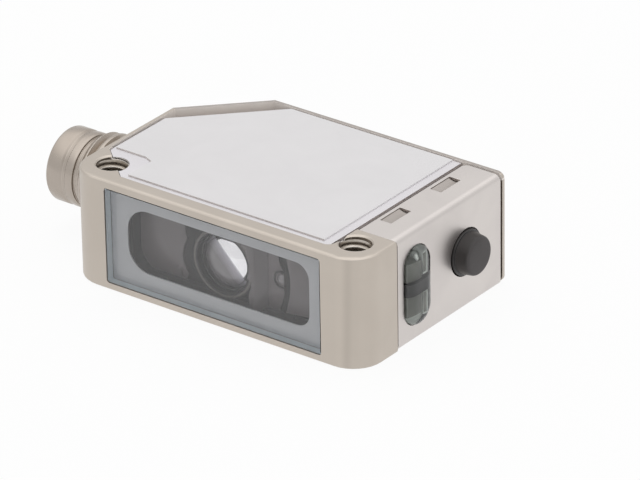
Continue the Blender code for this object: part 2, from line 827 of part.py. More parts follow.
def add_end_cover(root, metal):
    """Sheet folded twice round the end, with latch slots, indicator and button openings."""
    section = cover_profile(True) + cover_profile(False)[::-1]
    cover = make_object("end_cover", prism(section, COVER_FRONT, COVER_BACK, "Y"), root, metal)
    corners = prism(cover_corner_outline(), -BEYOND, THICKNESS + BEYOND)
    boolean(cover, make_object("cover_corners", corners, root))
    for number, centre in enumerate(SLOT_CENTRES, start=1):
        half = SLOT_LENGTH / 2
        slot = block(
            (SLOT_X0, centre - half, -BEYOND), (SLOT_X0 + SLOT_WIDTH, centre + half, THICKNESS + BEYOND)
        )
        boolean(cover, make_object(f"latch_slot_{number}", slot, root))
    opening = capsule(PIPE_Y, PIPE_Z, PIPE_HALF_WIDTH + SEAM, PIPE_HALF_LENGTH + SEAM)
    pipe_opening = prism(opening, COVER_INNER - BEYOND, COVER_FACE + BEYOND, "X")
    boolean(cover, make_object("pipe_opening", pipe_opening, root))
    button_opening = rod(COLLAR_RADIUS + SLIDE_GAP, COVER_INNER - BEYOND, COVER_FACE + BEYOND)
    boolean(cover, make_object("button_opening", button_opening, root, at=(0.0, BUTTON_Y, MID_Z)))


def add_window(root, materials):
    """Pane, grey border and seal, one behind the other in the frame's recess."""

    def pane_outline():
        return rectangle(
            WINDOW_X0 + SEAM,
            WINDOW_Z0 + SEAM,
            WINDOW_X1 - SEAM,
            WINDOW_Z1 - SEAM,
            WINDOW_CORNER - SEAM,
        )

    glass = prism(pane_outline(), GLASS_DROP, GLASS_DROP + GLASS_THICKNESS, "Y")
    make_object("front_glass", glass, root, materials["window_glass"])
    mask = prism(pane_outline(), MASK_Y, MASK_Y + MASK_THICKNESS, "Y")
    mask_piece = make_object("window_mask", mask, root, materials["window_mask"])
    opening = prism(clear_window(), MASK_Y - BEYOND, MASK_Y + BEYOND, "Y")
    boolean(mask_piece, make_object("clear_window", opening, root))
    gasket = prism(pane_outline(), GASKET_Y, GASKET_Y + GASKET_THICKNESS, "Y")
    gasket_piece = make_object("window_gasket", gasket, root, materials["black_rubber"])
    boolean(gasket_piece, make_object("gasket_opening", window_form(LEDGE, FRONT_WALL), root))


def carrier_outline():
    """The optics carrier seen from above: a wide flange with the light channels' core behind."""
    back = CARRIER_FRONT + CARRIER_FLANGE
    return [
        (CARRIER_X0, CARRIER_FRONT),
        (CARRIER_X1, CARRIER_FRONT),
        (CARRIER_X1, back),
        (CORE_X1, back),
        (CORE_X1, CORE_BACK),
        (CORE_X0, CORE_BACK),
        (CORE_X0, back),
        (CARRIER_X0, back),
    ]


def lens_bore_form():
    """The lens barrel's bore and the light channel behind it."""
    return turned(
        [
            (0.0, 0.0),
            (0.0, BARREL_BORE),
            (LENS_SEAT, BARREL_BORE),
            (LENS_SEAT, CHANNEL_RADIUS),
            (CORE_BACK + BEYOND, CHANNEL_RADIUS),
            (CORE_BACK + BEYOND, 0.0),
        ],
        closed=False,
        along="Y",
    )


def emitter_bore_form():
    """The emitter's pocket and the side channel that leads to the half mirror."""
    step = EMITTER_X + EMITTER_EDGE + SEAT_GAP
    pocket = EMITTER_RADIUS + FILM_GAP
    return turned(
        [
            (EMITTER_BOARD_X0, 0.0),
            (EMITTER_BOARD_X0, pocket),
            (step, pocket),
            (step, SIDE_CHANNEL_RADIUS),
            (LENS_X, SIDE_CHANNEL_RADIUS),
            (LENS_X, 0.0),
        ],
        SMALL_FACETS,
        closed=False,
    )


def add_optics_carrier(root, plastic):
    """Black moulding that holds the lenses, the half mirror and the emitter board."""
    carrier = make_object(
        "optics_carrier", prism(carrier_outline(), CARRIER_BASE, CARRIER_TOP), root, plastic
    )
    inside = LEDGE + CARRIER_RIM
    panel_z = (WINDOW_Z0 + inside, WINDOW_Z1 - inside)
    panel_x = (CARRIER_X0 + CARRIER_RIM, CARRIER_X1 - CARRIER_RIM)
    panel = block((panel_x[0], 0.0, panel_z[0]), (panel_x[1], PANEL_Y, panel_z[1]))
    boolean(carrier, make_object("panel_recess", panel, root))
    pocket = block(
        (panel_x[0], 0.0, panel_z[0]), (panel_x[0] + LEFT_POCKET, PANEL_Y + LEFT_POCKET_DEPTH, panel_z[1])
    )
    boolean(carrier, make_object("left_pocket", pocket, root))
    barrel = rod(BARREL_BORE + BARREL_WALL, BARREL_FRONT_Y, PANEL_Y + BARREL_WALL, along="Y")
    boolean(carrier, make_object("barrel", barrel, root, at=(LENS_X, 0.0, MID_Z)), "UNION")
    rib_x = LENS_X + RIB_OFFSET
    rib = block(
        (rib_x - RIB_WIDTH / 2, CARRIER_FRONT, CARRIER_BASE + LEDGE),
        (rib_x + RIB_WIDTH / 2, PANEL_Y + RIB_WIDTH, CARRIER_TOP - LEDGE),
    )
    boolean(carrier, make_object("panel_rib", rib, root), "UNION")
    for number, x in enumerate((CORE_X0, CORE_X1 - LEG_WIDTH), start=1):
        leg = block(
            (x, CORE_BACK - LEG_WIDTH, CARRIER_BASE),
            (x + LEG_WIDTH, MAIN_BOARD_Y - SEAT_GAP, CARRIER_BASE + LEG_HEIGHT),
        )
        boolean(carrier, make_object(f"board_leg_{number}", leg, root), "UNION")
    boolean(carrier, make_object("lens_bore", lens_bore_form(), root, at=(LENS_X, 0.0, MID_Z)))
    bore = make_object("emitter_bore", emitter_bore_form(), root, at=(0.0, SPLITTER_Y, MID_Z))
    boolean(carrier, bore)
    monitor_bore = rod(
        MONITOR_RADIUS + FILM_GAP, 0.0, PANEL_Y + MONITOR_LENGTH, SMALL_FACETS, along="Y"
    )
    monitor_at = (LENS_X + MONITOR_OFFSET, 0.0, MID_Z - MONITOR_DROP)
    boolean(carrier, make_object("monitor_bore", monitor_bore, root, at=monitor_at))
    half_depth = EMITTER_BOARD_DEPTH / 2 + FILM_GAP
    board_slot = block(
        (EMITTER_BOARD_X0 - FILM_GAP, SPLITTER_Y - half_depth, MID_Z - EMITTER_BOARD_HEIGHT / 2 - FILM_GAP),
        (EMITTER_BOARD_X1 + FILM_GAP, SPLITTER_Y + half_depth, THICKNESS + BEYOND),
    )
    boolean(carrier, make_object("emitter_board_slot", board_slot, root))
    splitter_slot = splitter_form(FILM_GAP, THICKNESS)
    slot = make_object(
        "splitter_slot", splitter_slot, root, at=(LENS_X, SPLITTER_Y, MID_Z), turn=(0.0, 0.0, -math.pi / 4)
    )
    boolean(carrier, slot)


def splitter_form(gap, rise):
    """The half mirror, or its slot where a gap and a rise are given."""
    length = SPLITTER_LENGTH / 2 + gap
    thickness = SPLITTER_THICKNESS / 2 + gap
    half_height = SPLITTER_HEIGHT / 2
    return block((-length, -thickness, -half_height - gap), (length, thickness, half_height + rise))


def add_optics(root, materials):
    """Lenses, half mirror, light source and receiver."""
    glass = materials["lens_glass"]
    lens_at = (LENS_X, 0.0, MID_Z)
    back = LENS_RIM_Y + LENS_EDGE
    lens_profile = [
        *dome(LENS_RADIUS, LENS_CROWN, LENS_RIM_Y),
        (LENS_RIM_Y, LENS_FLANGE_RADIUS),
        (back, LENS_FLANGE_RADIUS),
        (back, 0.0),
    ]
    make_object("main_lens", turned(lens_profile, closed=False, along="Y"), root, glass, at=lens_at)
    ring_back = LENS_RIM_Y - FILM_GAP
    ring = tube(
        LENS_RADIUS + FILM_GAP,
        BARREL_BORE - FILM_GAP,
        ring_back - LENS_RING_THICKNESS,
        ring_back,
        along="Y",
    )
    make_object("lens_ring", ring, root, materials["black_plastic"], at=lens_at)

    monitor_back = PANEL_Y + MONITOR_LENGTH - FILM_GAP
    monitor_profile = [
        *dome(MONITOR_RADIUS, MONITOR_RADIUS / 2, PANEL_Y, 4),
        (monitor_back, MONITOR_RADIUS),
        (monitor_back, 0.0),
    ]
    monitor = turned(monitor_profile, SMALL_FACETS, closed=False, along="Y")
    monitor_at = (LENS_X + MONITOR_OFFSET, 0.0, MID_Z - MONITOR_DROP)
    make_object("monitor_lens", monitor, root, glass, at=monitor_at)

    mirror_at = (LENS_X, SPLITTER_Y, MID_Z)
    mirror_turn = (0.0, 0.0, -math.pi / 4)
    make_object("beam_splitter", splitter_form(0.0, 0.0), root, glass, at=mirror_at, turn=mirror_turn)

    rim = EMITTER_X + EMITTER_EDGE
    curve = dome(SIDE_CHANNEL_RADIUS - FILM_GAP, EMITTER_CROWN, rim)
    emitter_profile = [
        *[(2 * rim - distance, radius) for distance, radius in curve],
        (rim, EMITTER_RADIUS),
        (EMITTER_X, EMITTER_RADIUS),
        (EMITTER_X, 0.0),
    ]
    emitter = turned(emitter_profile, SMALL_FACETS, closed=False)
    make_object("emitter_lens", emitter, root, glass, at=(0.0, SPLITTER_Y, MID_Z))
    half_led = LED_SIDE / 2
    led = block((0.0, -half_led, -half_led), (LED_HEIGHT, half_led, half_led))
    led_at = (EMITTER_LED_X, SPLITTER_Y, MID_Z)
    make_object("emitter_led", led, root, materials["led_white"], at=led_at)
    half_depth = EMITTER_BOARD_DEPTH / 2
    half_height = EMITTER_BOARD_HEIGHT / 2
    board = block((0.0, -half_depth, -half_height), (BOARD, half_depth, half_height))
    board_at = (EMITTER_BOARD_X0, SPLITTER_Y, MID_Z)
    make_object("emitter_board", board, root, materials["board_green"], at=board_at)

    half = APERTURE_SIDE / 2
    plate_y = CORE_BACK + FILM_GAP
    plate = block((-half, 0.0, -half), (half, APERTURE_THICKNESS, half))
    plate_at = (LENS_X, plate_y, MID_Z)
    aperture = make_object("aperture_plate", plate, root, materials["black_plastic"], at=plate_at)
    pinhole = rod(APERTURE_RADIUS, -BEYOND, BEYOND, SMALL_FACETS, along="Y")
    boolean(aperture, make_object("pinhole", pinhole, root, at=plate_at))
    half = RECEIVER_SIDE / 2
    receiver = block((-half, -RECEIVER_HEIGHT, -half), (half, 0.0, half))
    receiver_at = (LENS_X, MAIN_BOARD_Y - FILM_GAP, MID_Z)
    make_object("receiver_diode", receiver, root, materials["chip_black"], at=receiver_at)


def add_boards(root, materials):
    """Main and end boards with what is soldered to them."""
    green = materials["board_green"]
    black = materials["chip_black"]
    back = MAIN_BOARD_Y + BOARD
    band = CHAMFER_BAND + PLATE_LEFT_GAP + SEAT_WIDTH
    left = chamfer_x(back, band) + SEAT_GAP
    main = block((left, MAIN_BOARD_Y, CARRIER_BASE), (CAVITY_X1 - SEAT_GAP, back, CARRIER_TOP))
    make_object("main_board", main, root, green)
    solder = back + FILM_GAP
    half = PROCESSOR_SIDE / 2
    processor = block((-half, 0.0, -half), (half, PROCESSOR_HEIGHT, half))
    make_object("processor_chip", processor, root, black, at=(PROCESSOR_X, solder, MID_Z))
    driver = block((0.0, 0.0, -DRIVER_LENGTH / 2), (DRIVER_WIDTH, DRIVER_HEIGHT, DRIVER_LENGTH / 2))
    make_object("driver_chip", driver, root, black, at=(DRIVER_X, solder, MID_Z))
    link = block((-LINK_LENGTH, 0.0, -LINK_HEIGHT / 2), (0.0, LINK_DEPTH, LINK_HEIGHT / 2))
    link_at = (END_BOARD_X0 - FILM_GAP, solder, MID_Z)
    make_object("board_link", link, root, black, at=link_at)

    end = block((END_BOARD_X0, END_WALL_Y0, END_WALL_BASE), (END_BOARD_X1, END_WALL_Y1, END_WALL_TOP))
    make_object("end_board", end, root, green)
    half_led = LED_SIDE / 2
    for name, side in (("upper", 1), ("lower", -1)):
        led = block((0.0, -half_led, -half_led), (LED_HEIGHT, half_led, half_led))
        at = (END_BOARD_X1 + FILM_GAP, PIPE_Y, PIPE_Z + side * PIPE_STUB_SPACING / 2)
        make_object(f"indicator_led_{name}", led, root, materials["led_white"], at=at)
    half = SWITCH_SIDE / 2
    switch_at = (SWITCH_BASE, BUTTON_Y, MID_Z)
    switch_body = block((0.0, -half, -half), (SWITCH_HEIGHT, half, half))
    switch = make_object("tact_switch", switch_body, root, black, at=switch_at)
    plunger_back = PLUNGER_FRONT - PLUNGER_LENGTH - BUTTON_TRAVEL - SEAT_GAP
    bore = rod(PLUNGER_RADIUS + SLIDE_GAP, plunger_back, SWITCH_TOP + BEYOND, SMALL_FACETS)
    boolean(switch, make_object("plunger_bore", bore, root, at=(0.0, BUTTON_Y, MID_Z)))


def add_end_wall(root, plastic):
    """Inner black moulding behind the cover, with the seats of the light pipe and the button."""
    outline = rectangle(END_WALL_Y0, END_WALL_BASE, END_WALL_Y1, END_WALL_TOP, END_WALL_CORNER)
    wall = make_object("end_wall", prism(outline, END_WALL_BACK, END_WALL_FRONT, "X"), root, plastic)
    pipe_seat = END_WALL_FRONT - PIPE_FLANGE_THICKNESS - SEAT_GAP
    far = END_WALL_FRONT + BEYOND
    seat = capsule(PIPE_Y, PIPE_Z, PIPE_HALF_WIDTH + SEAM, PIPE_HALF_LENGTH + SEAM)
    boolean(wall, make_object("pipe_seat", prism(seat, pipe_seat, far, "X"), root))
    half_width = PIPE_HALF_WIDTH + PIPE_FLANGE + SEAM
    half_length = PIPE_FLANGE_HALF_LENGTH + SEAM
    flange = block(
        (pipe_seat, PIPE_Y - half_width, PIPE_Z - half_length),
        (far, PIPE_Y + half_width, PIPE_Z + half_length),
    )
    boolean(wall, make_object("pipe_flange_seat", flange, root))
    for name, side in (("upper", 1), ("lower", -1)):
        hole = rod(PIPE_STUB_RADIUS + SEAT_GAP, END_WALL_BACK - BEYOND, far, SMALL_FACETS)
        at = (0.0, PIPE_Y, PIPE_Z + side * PIPE_STUB_SPACING / 2)
        boolean(wall, make_object(f"{name}_stub_hole", hole, root, at=at))
    button_seat = BUTTON_FLANGE_BACK - BUTTON_TRAVEL - SEAT_GAP
    stem_hole = BUTTON_STEM_RADIUS + SLIDE_GAP
    guide = turned(
        [
            (END_WALL_BACK - BEYOND, 0.0),
            (END_WALL_BACK - BEYOND, stem_hole),
            (button_seat, stem_hole),
            (button_seat, BUTTON_FLANGE_RADIUS + SLIDE_GAP),
            (far, BUTTON_FLANGE_RADIUS + SLIDE_GAP),
            (far, 0.0),
        ],
        closed=False,
    )
    boolean(wall, make_object("button_guide", guide, root, at=(0.0, BUTTON_Y, MID_Z)))


def add_light_pipe(root, materials):
    """Smoked moulding with two half windows, its fixing flange and a stub to each lamp."""
    back = END_WALL_FRONT - PIPE_FLANGE_THICKNESS
    face = COVER_FACE + PIPE_STANDS_OUT
    body = prism(capsule(PIPE_Y, PIPE_Z, PIPE_HALF_WIDTH, PIPE_HALF_LENGTH), back, face, "X")
    outer = [edge for edge in body.edges if all(vert.co.x > face - FILM_GAP for vert in edge.verts)]
    bevel_edges(body, outer, PIPE_EDGE)
    pipe = make_object("light_pipe", body, root, materials["smoked_plastic"])
    half_width = PIPE_HALF_WIDTH + PIPE_FLANGE
    flange = block(
        (back, PIPE_Y - half_width, PIPE_Z - PIPE_FLANGE_HALF_LENGTH),
        (END_WALL_FRONT, PIPE_Y + half_width, PIPE_Z + PIPE_FLANGE_HALF_LENGTH),
    )
    boolean(pipe, make_object("pipe_flange", flange, root), "UNION")
    lamp_face = END_BOARD_X1 + FILM_GAP + LED_HEIGHT
    for name, side in (("upper", 1), ("lower", -1)):
        stub = rod(PIPE_STUB_RADIUS, lamp_face + SEAT_GAP, back + PIPE_FLANGE_THICKNESS / 2, SMALL_FACETS)
        at = (0.0, PIPE_Y, PIPE_Z + side * PIPE_STUB_SPACING / 2)
        boolean(pipe, make_object(f"{name}_pipe_stub", stub, root, at=at), "UNION")
    floor = END_WALL_FRONT + SLIDE_GAP / 2
    half_slot = DIVIDER_HEIGHT / 2 + FILM_GAP
    slot = block(
        (floor, PIPE_Y - half_width, PIPE_Z - half_slot),
        (face + BEYOND, PIPE_Y + half_width, PIPE_Z + half_slot),
    )
    boolean(pipe, make_object("divider_slot", slot, root))
    half = DIVIDER_HEIGHT / 2
    divider = block(
        (floor + FILM_GAP, PIPE_Y - PIPE_HALF_WIDTH, PIPE_Z - half),
        (face - DIVIDER_DROP, PIPE_Y + PIPE_HALF_WIDTH, PIPE_Z + half),
    )
    make_object("light_pipe_divider", divider, root, materials["black_plastic"])


def add_button(root, materials):
    """Button cap with its collar, flange and stem, and the switch plunger it pushes."""
    slide = make_empty("button_slide", (COVER_FACE, BUTTON_Y, MID_Z), root)
    stem_back = STEM_BACK - COVER_FACE
    flange_back = BUTTON_FLANGE_BACK - COVER_FACE
    flange_front = BUTTON_FLANGE_FRONT - COVER_FACE
    profile = [
        (stem_back, 0.0),
        (stem_back, BUTTON_STEM_RADIUS),
        (flange_back, BUTTON_STEM_RADIUS),
        (flange_back, BUTTON_FLANGE_RADIUS),
        (flange_front, BUTTON_FLANGE_RADIUS),
        (flange_front, COLLAR_RADIUS),
        (COLLAR_STANDS_OUT - COLLAR_EDGE, COLLAR_RADIUS),
        (COLLAR_STANDS_OUT, COLLAR_RADIUS - COLLAR_EDGE),
        (COLLAR_STANDS_OUT, CAP_RADIUS),
        *[
            (CAP_STANDS_OUT - CAP_EDGE + rise, CAP_RADIUS - CAP_EDGE + out)
            for out, rise in arc(0.0, 0.0, CAP_EDGE, 0, 90, 3)
        ],
        (CAP_STANDS_OUT, 0.0),
    ]
    make_object("button_cap", turned(profile, closed=False), slide, materials["black_plastic"])
    front = PLUNGER_FRONT - COVER_FACE
    plunger = rod(PLUNGER_RADIUS, front - PLUNGER_LENGTH, front, SMALL_FACETS)
    make_object("switch_plunger", plunger, slide, materials["black_plastic"])


def shell_profile():
    """Section of the plug shell: nose with latch groove, neck, threaded part and spigot."""
    latch = LEFT_STEP - LATCH_GROOVE
    half_latch = LATCH_GROOVE_WIDTH / 2
    latch_floor = NOSE_RADIUS - LATCH_GROOVE_DEPTH
    neck = LEFT_STEP - NECK
    half_neck = NECK_WIDTH / 2
    return [
        (PLUG_TIP + NOSE_BEVEL, PLUG_BORE_RADIUS),
        (PLUG_TIP, PLUG_BORE_RADIUS + NOSE_BEVEL),
        (PLUG_TIP, NOSE_RADIUS - NOSE_BEVEL),
        (PLUG_TIP + NOSE_BEVEL, NOSE_RADIUS),
        (latch - half_latch, NOSE_RADIUS),
        (latch - half_latch, latch_floor),
        (latch + half_latch, latch_floor),
        (latch + half_latch, NOSE_RADIUS),
        (neck - half_neck, NOSE_RADIUS),
        (neck - half_neck, NECK_RADIUS),
        (neck + half_neck, NECK_RADIUS),
        (neck + half_neck, THREAD_RADIUS - THREAD_BEVEL),
        (neck + half_neck + THREAD_BEVEL, THREAD_RADIUS),
        (PLUG_SHOULDER, THREAD_RADIUS),
        (PLUG_SHOULDER, SPIGOT_RADIUS),
        (SPIGOT_END, SPIGOT_RADIUS),
        (SPIGOT_END, TAIL_RADIUS + FILM_GAP),
        (INSERT_STEP, TAIL_RADIUS + FILM_GAP),
        (INSERT_STEP, PLUG_BORE_RADIUS),
    ]


def pin_places():
    places = []
    for index in range(PIN_COUNT):
        angle = 2 * math.pi * (index + 0.5) / PIN_COUNT
        places.append((PLUG_Y + PIN_CIRCLE * math.cos(angle), MID_Z + PIN_CIRCLE * math.sin(angle)))
    return places


def add_plug(root, materials):
    """Plug shell, contact carrier with its pins, seal, ring nut and wiring."""
    plug_at = (0.0, PLUG_Y, MID_Z)
    make_object("connector_shell", turned(shell_profile()), root, materials["nickel_brass"], at=plug_at)

    head = PLUG_BORE_RADIUS - FILM_GAP
    insert_profile = [
        (INSERT_FACE, 0.0),
        (INSERT_FACE, head),
        (INSERT_STEP - FILM_GAP, head),
        (INSERT_STEP - FILM_GAP, TAIL_RADIUS),
        (SPIGOT_END, TAIL_RADIUS),
        (SPIGOT_END, 0.0),
    ]
    insert = make_object(
        "connector_insert", turned(insert_profile, closed=False), root, materials["black_plastic"], at=plug_at
    )
    key_top = math.sqrt(head * head - KEY_WIDTH * KEY_WIDTH / 4)
    key = block(
        (PLUG_TIP + KEY_DEPTH, -KEY_WIDTH / 2, key_top - KEY_HEIGHT),
        (INSERT_FACE + INSERT_HEAD / 2, KEY_WIDTH / 2, key_top),
    )
    boolean(insert, make_object("insert_key", key, root, at=plug_at), "UNION")

    board_disc = rod(PLUG_BOARD_RADIUS, PLUG_BOARD_X0, PLUG_BOARD_X1)
    board = make_object("connector_board", board_disc, root, materials["board_green"], at=plug_at)
    pin_low = PLUG_TIP + PIN_DEPTH
    pin_high = PLUG_BOARD_X1 + PIN_TAIL
    for number, (y, z) in enumerate(pin_places(), start=1):
        pin_profile = [
            *dome(PIN_RADIUS, PIN_RADIUS, pin_low + PIN_RADIUS, 4),
            (pin_high, PIN_RADIUS),
            (pin_high, 0.0),
        ]
        pin = turned(pin_profile, SMALL_FACETS, closed=False)
        make_object(f"contact_pin_{number}", pin, root, materials["gold_plate"], at=(0.0, y, z))
        passage = rod(PIN_RADIUS + FILM_GAP, PLUG_TIP, pin_high + BEYOND, SMALL_FACETS)
        hole = make_object(f"pin_passage_{number}", passage, root, at=(0.0, y, z))
        boolean(insert, hole)
        boolean(board, hole)

    seal_radius = SPIGOT_RADIUS + O_RING_SECTION + SEAT_GAP / 2
    seal_x = LEFT_STEP + O_RING_SECTION + SEAT_GAP / 2
    section = [(seal_x + x, seal_radius + radius) for x, radius in arc(0, 0, O_RING_SECTION, 0, 315, 7)]
    seal = turned(section, SMALL_FACETS)
    make_object("connector_seal", seal, root, materials["black_rubber"], at=plug_at)

    nut_bore = SPIGOT_RADIUS + FILM_GAP
    nut_ring = tube(nut_bore, NUT_RADIUS, NUT_X0, NUT_X0 + NUT_THICKNESS)
    nut = make_object("connector_nut", nut_ring, root, materials["nickel_brass"], at=plug_at)
    inner = NUT_RADIUS - NUT_NOTCH_DEPTH
    for number in range(PIN_COUNT):
        notch = block(
            (NUT_X0 - BEYOND, -NUT_NOTCH / 2, inner),
            (SPIGOT_END + BEYOND, NUT_NOTCH / 2, NUT_RADIUS + BEYOND),
        )
        turn = (2 * math.pi * number / PIN_COUNT, 0.0, 0.0)
        boolean(nut, make_object(f"nut_notch_{number + 1}", notch, root, at=plug_at, turn=turn))

    make_object("flex_strip", flex_form(), root, materials["flex_amber"], at=(0.0, 0.0, MID_Z))


def flex_form():
    """Flexible strip from the plug's board round a bend to the main board."""
    outer_x = PLUG_BOARD_X1 + FILM_GAP
    outer_y = MAIN_BOARD_Y - FILM_GAP
    outer = FLEX_BEND + FLEX_THICKNESS
    centre_x = outer_x + outer
    centre_y = outer_y - outer
    start = centre_y - FLEX_LAP
    end = centre_x + FLEX_REACH
    path = [
        (outer_x, start),
        *arc(centre_x, centre_y, outer, 180, 90),
        (end, outer_y),
        (end, outer_y - FLEX_THICKNESS),
        *arc(centre_x, centre_y, FLEX_BEND, 90, 180),
        (outer_x + FLEX_THICKNESS, start),
    ]
    return prism(path, -FLEX_WIDTH / 2, FLEX_WIDTH / 2)


def main():
    clear_scene()
    materials = {name: make_material(name) for name in MATERIALS}
    root = make_empty("sensor", -MODEL_CENTRE)
    add_housing(root, materials["satin_nickel"])
    add_side_plate(root, materials["plate_steel"])
    add_label(root, materials["label_white"])
    add_end_cover(root, materials["cover_steel"])
    add_window(root, materials)
    add_optics_carrier(root, materials["black_plastic"])
    add_optics(root, materials)
    add_boards(root, materials)
    add_end_wall(root, materials["black_plastic"])
    add_light_pipe(root, materials)
    add_button(root, materials)
    add_plug(root, materials)


main()
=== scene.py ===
import math
import bpy
from mathutils import Matrix, Vector


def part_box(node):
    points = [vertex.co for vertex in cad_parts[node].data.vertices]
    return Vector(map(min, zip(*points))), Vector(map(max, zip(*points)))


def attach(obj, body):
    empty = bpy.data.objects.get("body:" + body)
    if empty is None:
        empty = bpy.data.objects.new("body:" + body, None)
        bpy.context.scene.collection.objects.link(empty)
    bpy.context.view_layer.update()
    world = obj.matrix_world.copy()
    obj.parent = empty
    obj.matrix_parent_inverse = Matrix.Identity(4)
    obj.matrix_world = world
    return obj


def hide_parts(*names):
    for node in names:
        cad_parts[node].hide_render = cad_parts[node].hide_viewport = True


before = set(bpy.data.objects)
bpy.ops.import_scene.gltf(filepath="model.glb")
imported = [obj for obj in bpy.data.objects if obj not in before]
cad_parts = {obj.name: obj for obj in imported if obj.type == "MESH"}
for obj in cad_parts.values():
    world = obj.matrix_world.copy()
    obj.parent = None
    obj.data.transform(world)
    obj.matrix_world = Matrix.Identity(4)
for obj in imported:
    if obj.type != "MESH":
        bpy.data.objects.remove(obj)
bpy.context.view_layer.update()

MM = 0.001
QUARTER = math.pi / 2

# Where the camera stood, round the middle of the sensor
CAMERA_AZIMUTH = math.radians(37.44)
CAMERA_HEIGHT = math.radians(26.98)
CAMERA_ROLL = math.radians(-0.98)
CAMERA_AIM = Vector((6.7, 3.0, 7.5)) * MM
CAMERA_DISTANCE = 695.5 * MM
CAMERA_LENS = 318.2
CAMERA_SENSOR = 36.0
CAMERA_SHIFT = (2.7 / 640, -18.7 / 640)
CAMERA_CLIP = (0.01, 10.0)

# Studio: how bright the sky lights, how bright it shows in polished faces low down and
# overhead, where it changes, and how the floor looks
WHITE = (1.0, 1.0, 1.0, 1.0)
SKY_LIGHT = 0.74
SKY_LOW = 0.87
SKY_HIGH = 1.5
SKY_RISE = (0.5, 0.85)
FLOOR_TONE = (0.86, 0.86, 0.86, 1.0)
FLOOR_GLOW = 0.93
LAMPS = (
    ("large_top_box", (-0.25, 0.1, 0.85), (0.6, 0.5), 1.6),
    ("front_fill", (0.22, -0.75, 0.16), (0.22, 0.22), 0.7),
    ("right_fill", (0.8, 0.05, 0.3), (0.25, 0.25), 0.8),
)

# Directions; distances at which points are joined; how steeply a face lies; and the angles,
# in degrees, up to which edges are shaded smooth
ALONG = (1.0, 0.0, 0.0)
INWARD = (0.0, 1.0, 0.0)
UP = (0.0, 0.0, 1.0)
WELD = 0.0005 * MM
SOLID_WELD = 0.002 * MM
NEAR = 1e-6
UPRIGHT = 0.2
LEVEL = 0.9
SOLID_ANGLE = 28
THREAD_ANGLE = 32
CLEAR_ANGLE = 35
TURNED_ANGLE = 40

# Body, plate, label and cover
GROOVE_LOW = 12.9 * MM
GROOVE_HIGH = 14.9 * MM
RIM_FRONT = -7.0 * MM
RECESS_MARGIN = Vector((0.3, 0.3, 0.3)) * MM
PLATE_SEAM = 0.36 * MM
LABEL_LIFT = 0.002 * MM
COVER_SEAM = 0.42 * MM
# Outside and inside of the cover's fold: depth in the sheet, radius, tighter radius
COVER_FOLDS = ((0.0, 0.9, 0.45), (0.35, 0.55, 0.12))
FOLD_SLACK = 0.01

# Painted soft reflections: tones of an upright wall, by the share of a quarter turn from front to
# side
PAINTED_REFLECTION_BANDS = (
    (0.0, 0.79), (0.15, 0.95), (0.3, 0.12), (0.42, 0.62), (0.55, 0.8), (0.75, 0.7), (1.0, 0.9),
)
PAINTED_REFLECTION_TONES = (0.89, 1.03)
DUST_RARITY = 0.8
PANEL_COLOURS = ((106, 98, 100), (95, 88, 90), (132, 125, 126))

# Plug
PLUG_AXIS = Vector((0.0, -1.95, 7.5)) * MM
PLUG_SIDES = 96
PLUG_TIP = -28.5
NOSE_RADIUS = 4.9
NOSE_BORE = 4.1
NOSE_ROUND = 0.3
LATCH_X = -25.9
LATCH_HALF = 0.46
LATCH_FLOOR = 4.64
NECK_X = -24.0
NECK_HALF = 0.32
NECK_RADIUS = 4.56
THREAD_START = -23.6
THREAD_END = -18.05
THREAD_CREST = 5.6
THREAD_ROOT = 4.92
THREAD_PITCH = 1.5
THREAD_RUN_IN = 0.7
THREAD_RUN_OUT = 1.6
THREAD_STEPS = 72
SHELL_STEP = -20.05
SPIGOT_RADIUS = 4.3
SPIGOT_END = -13.65

# Mounting holes
HOLE_NEAR = Vector((-14.4, -10.6, 0.0)) * MM
HOLE_FAR = Vector((22.8, -10.6, 0.0)) * MM
HOLE_RADIUS = 2.0
HOLE_CREST = 1.68
HOLE_PITCH = 0.7
HOLE_THREAD_LOW = 0.7
HOLE_THREAD_FADE = 13.6
HOLE_THREAD_END = 14.75
HOLE_THREAD_TURNS = 20
HOLE_STEPS = 40

# Large lens and small lens
LENS_AXIS = Vector((4.2, 0.0, 7.5)) * MM
LENS_SIDES = 96
LENS_RIM_Y = -10.6
LENS_RADIUS = 3.6
LENS_CROWN = 1.5
LENS_RINGS = 14
# Where the painted split of the large lens lies, and which way it faces
LENS_SPLIT_POINT = Vector((4.485, -10.5, 7.565)) * MM
LENS_SPLIT_FACING = (0.509, 0.706, 0.493)
LENS_EDGE = 0.9
# Painted light on the large lens: its split, its shade to the bottom, glow by the split, dark ring
LENS_SPLIT = (-0.13 * MM, 0.13 * MM)
LENS_SHADE = (4.6 * MM, 6.0 * MM)
LENS_GLOW = (-1.1 * MM, 0.1 * MM)
LENS_PAINTED_RING_RADIUS = 3.2 * MM
LENS_PAINTED_RING_HALF = 0.07 * MM
LENS_PAINTED_RING_SHARE = 0.6

# Sections of the lock ring, the small lens's seat and the barrel's rim: (place, radius)
LOCK_RING = (
    (-10.64, 3.66), (-10.9, 3.66), (-10.98, 3.7), (-11.0, 3.76), (-10.96, 3.84),
    (-10.64, 3.86), (-10.64, 3.66),
)
MONITOR_SEAT = (
    (-10.4, 0.9), (-10.62, 0.92), (-10.72, 0.98), (-10.72, 1.08), (-10.64, 1.18),
    (-10.4, 1.24), (-10.4, 0.9),
)
MONITOR_SIDES = 48
BARREL_RIM_BACK = -11.3
BARREL_RIM_FRONT = -11.72
BARREL_RIM_RISE = 0.12
BARREL_RIM_RADIUS = 4.32
BARREL_RIM_HALF = 0.21
BARREL_RIM_SPAN = (4.08, 4.53)
BARREL_RIM_STEPS = 8

# Pane: how far it reaches into the frame, and the dark joint at two of its sides
PANE_MARGIN = 0.05 * MM
PANE_GAP = 0.13 * MM

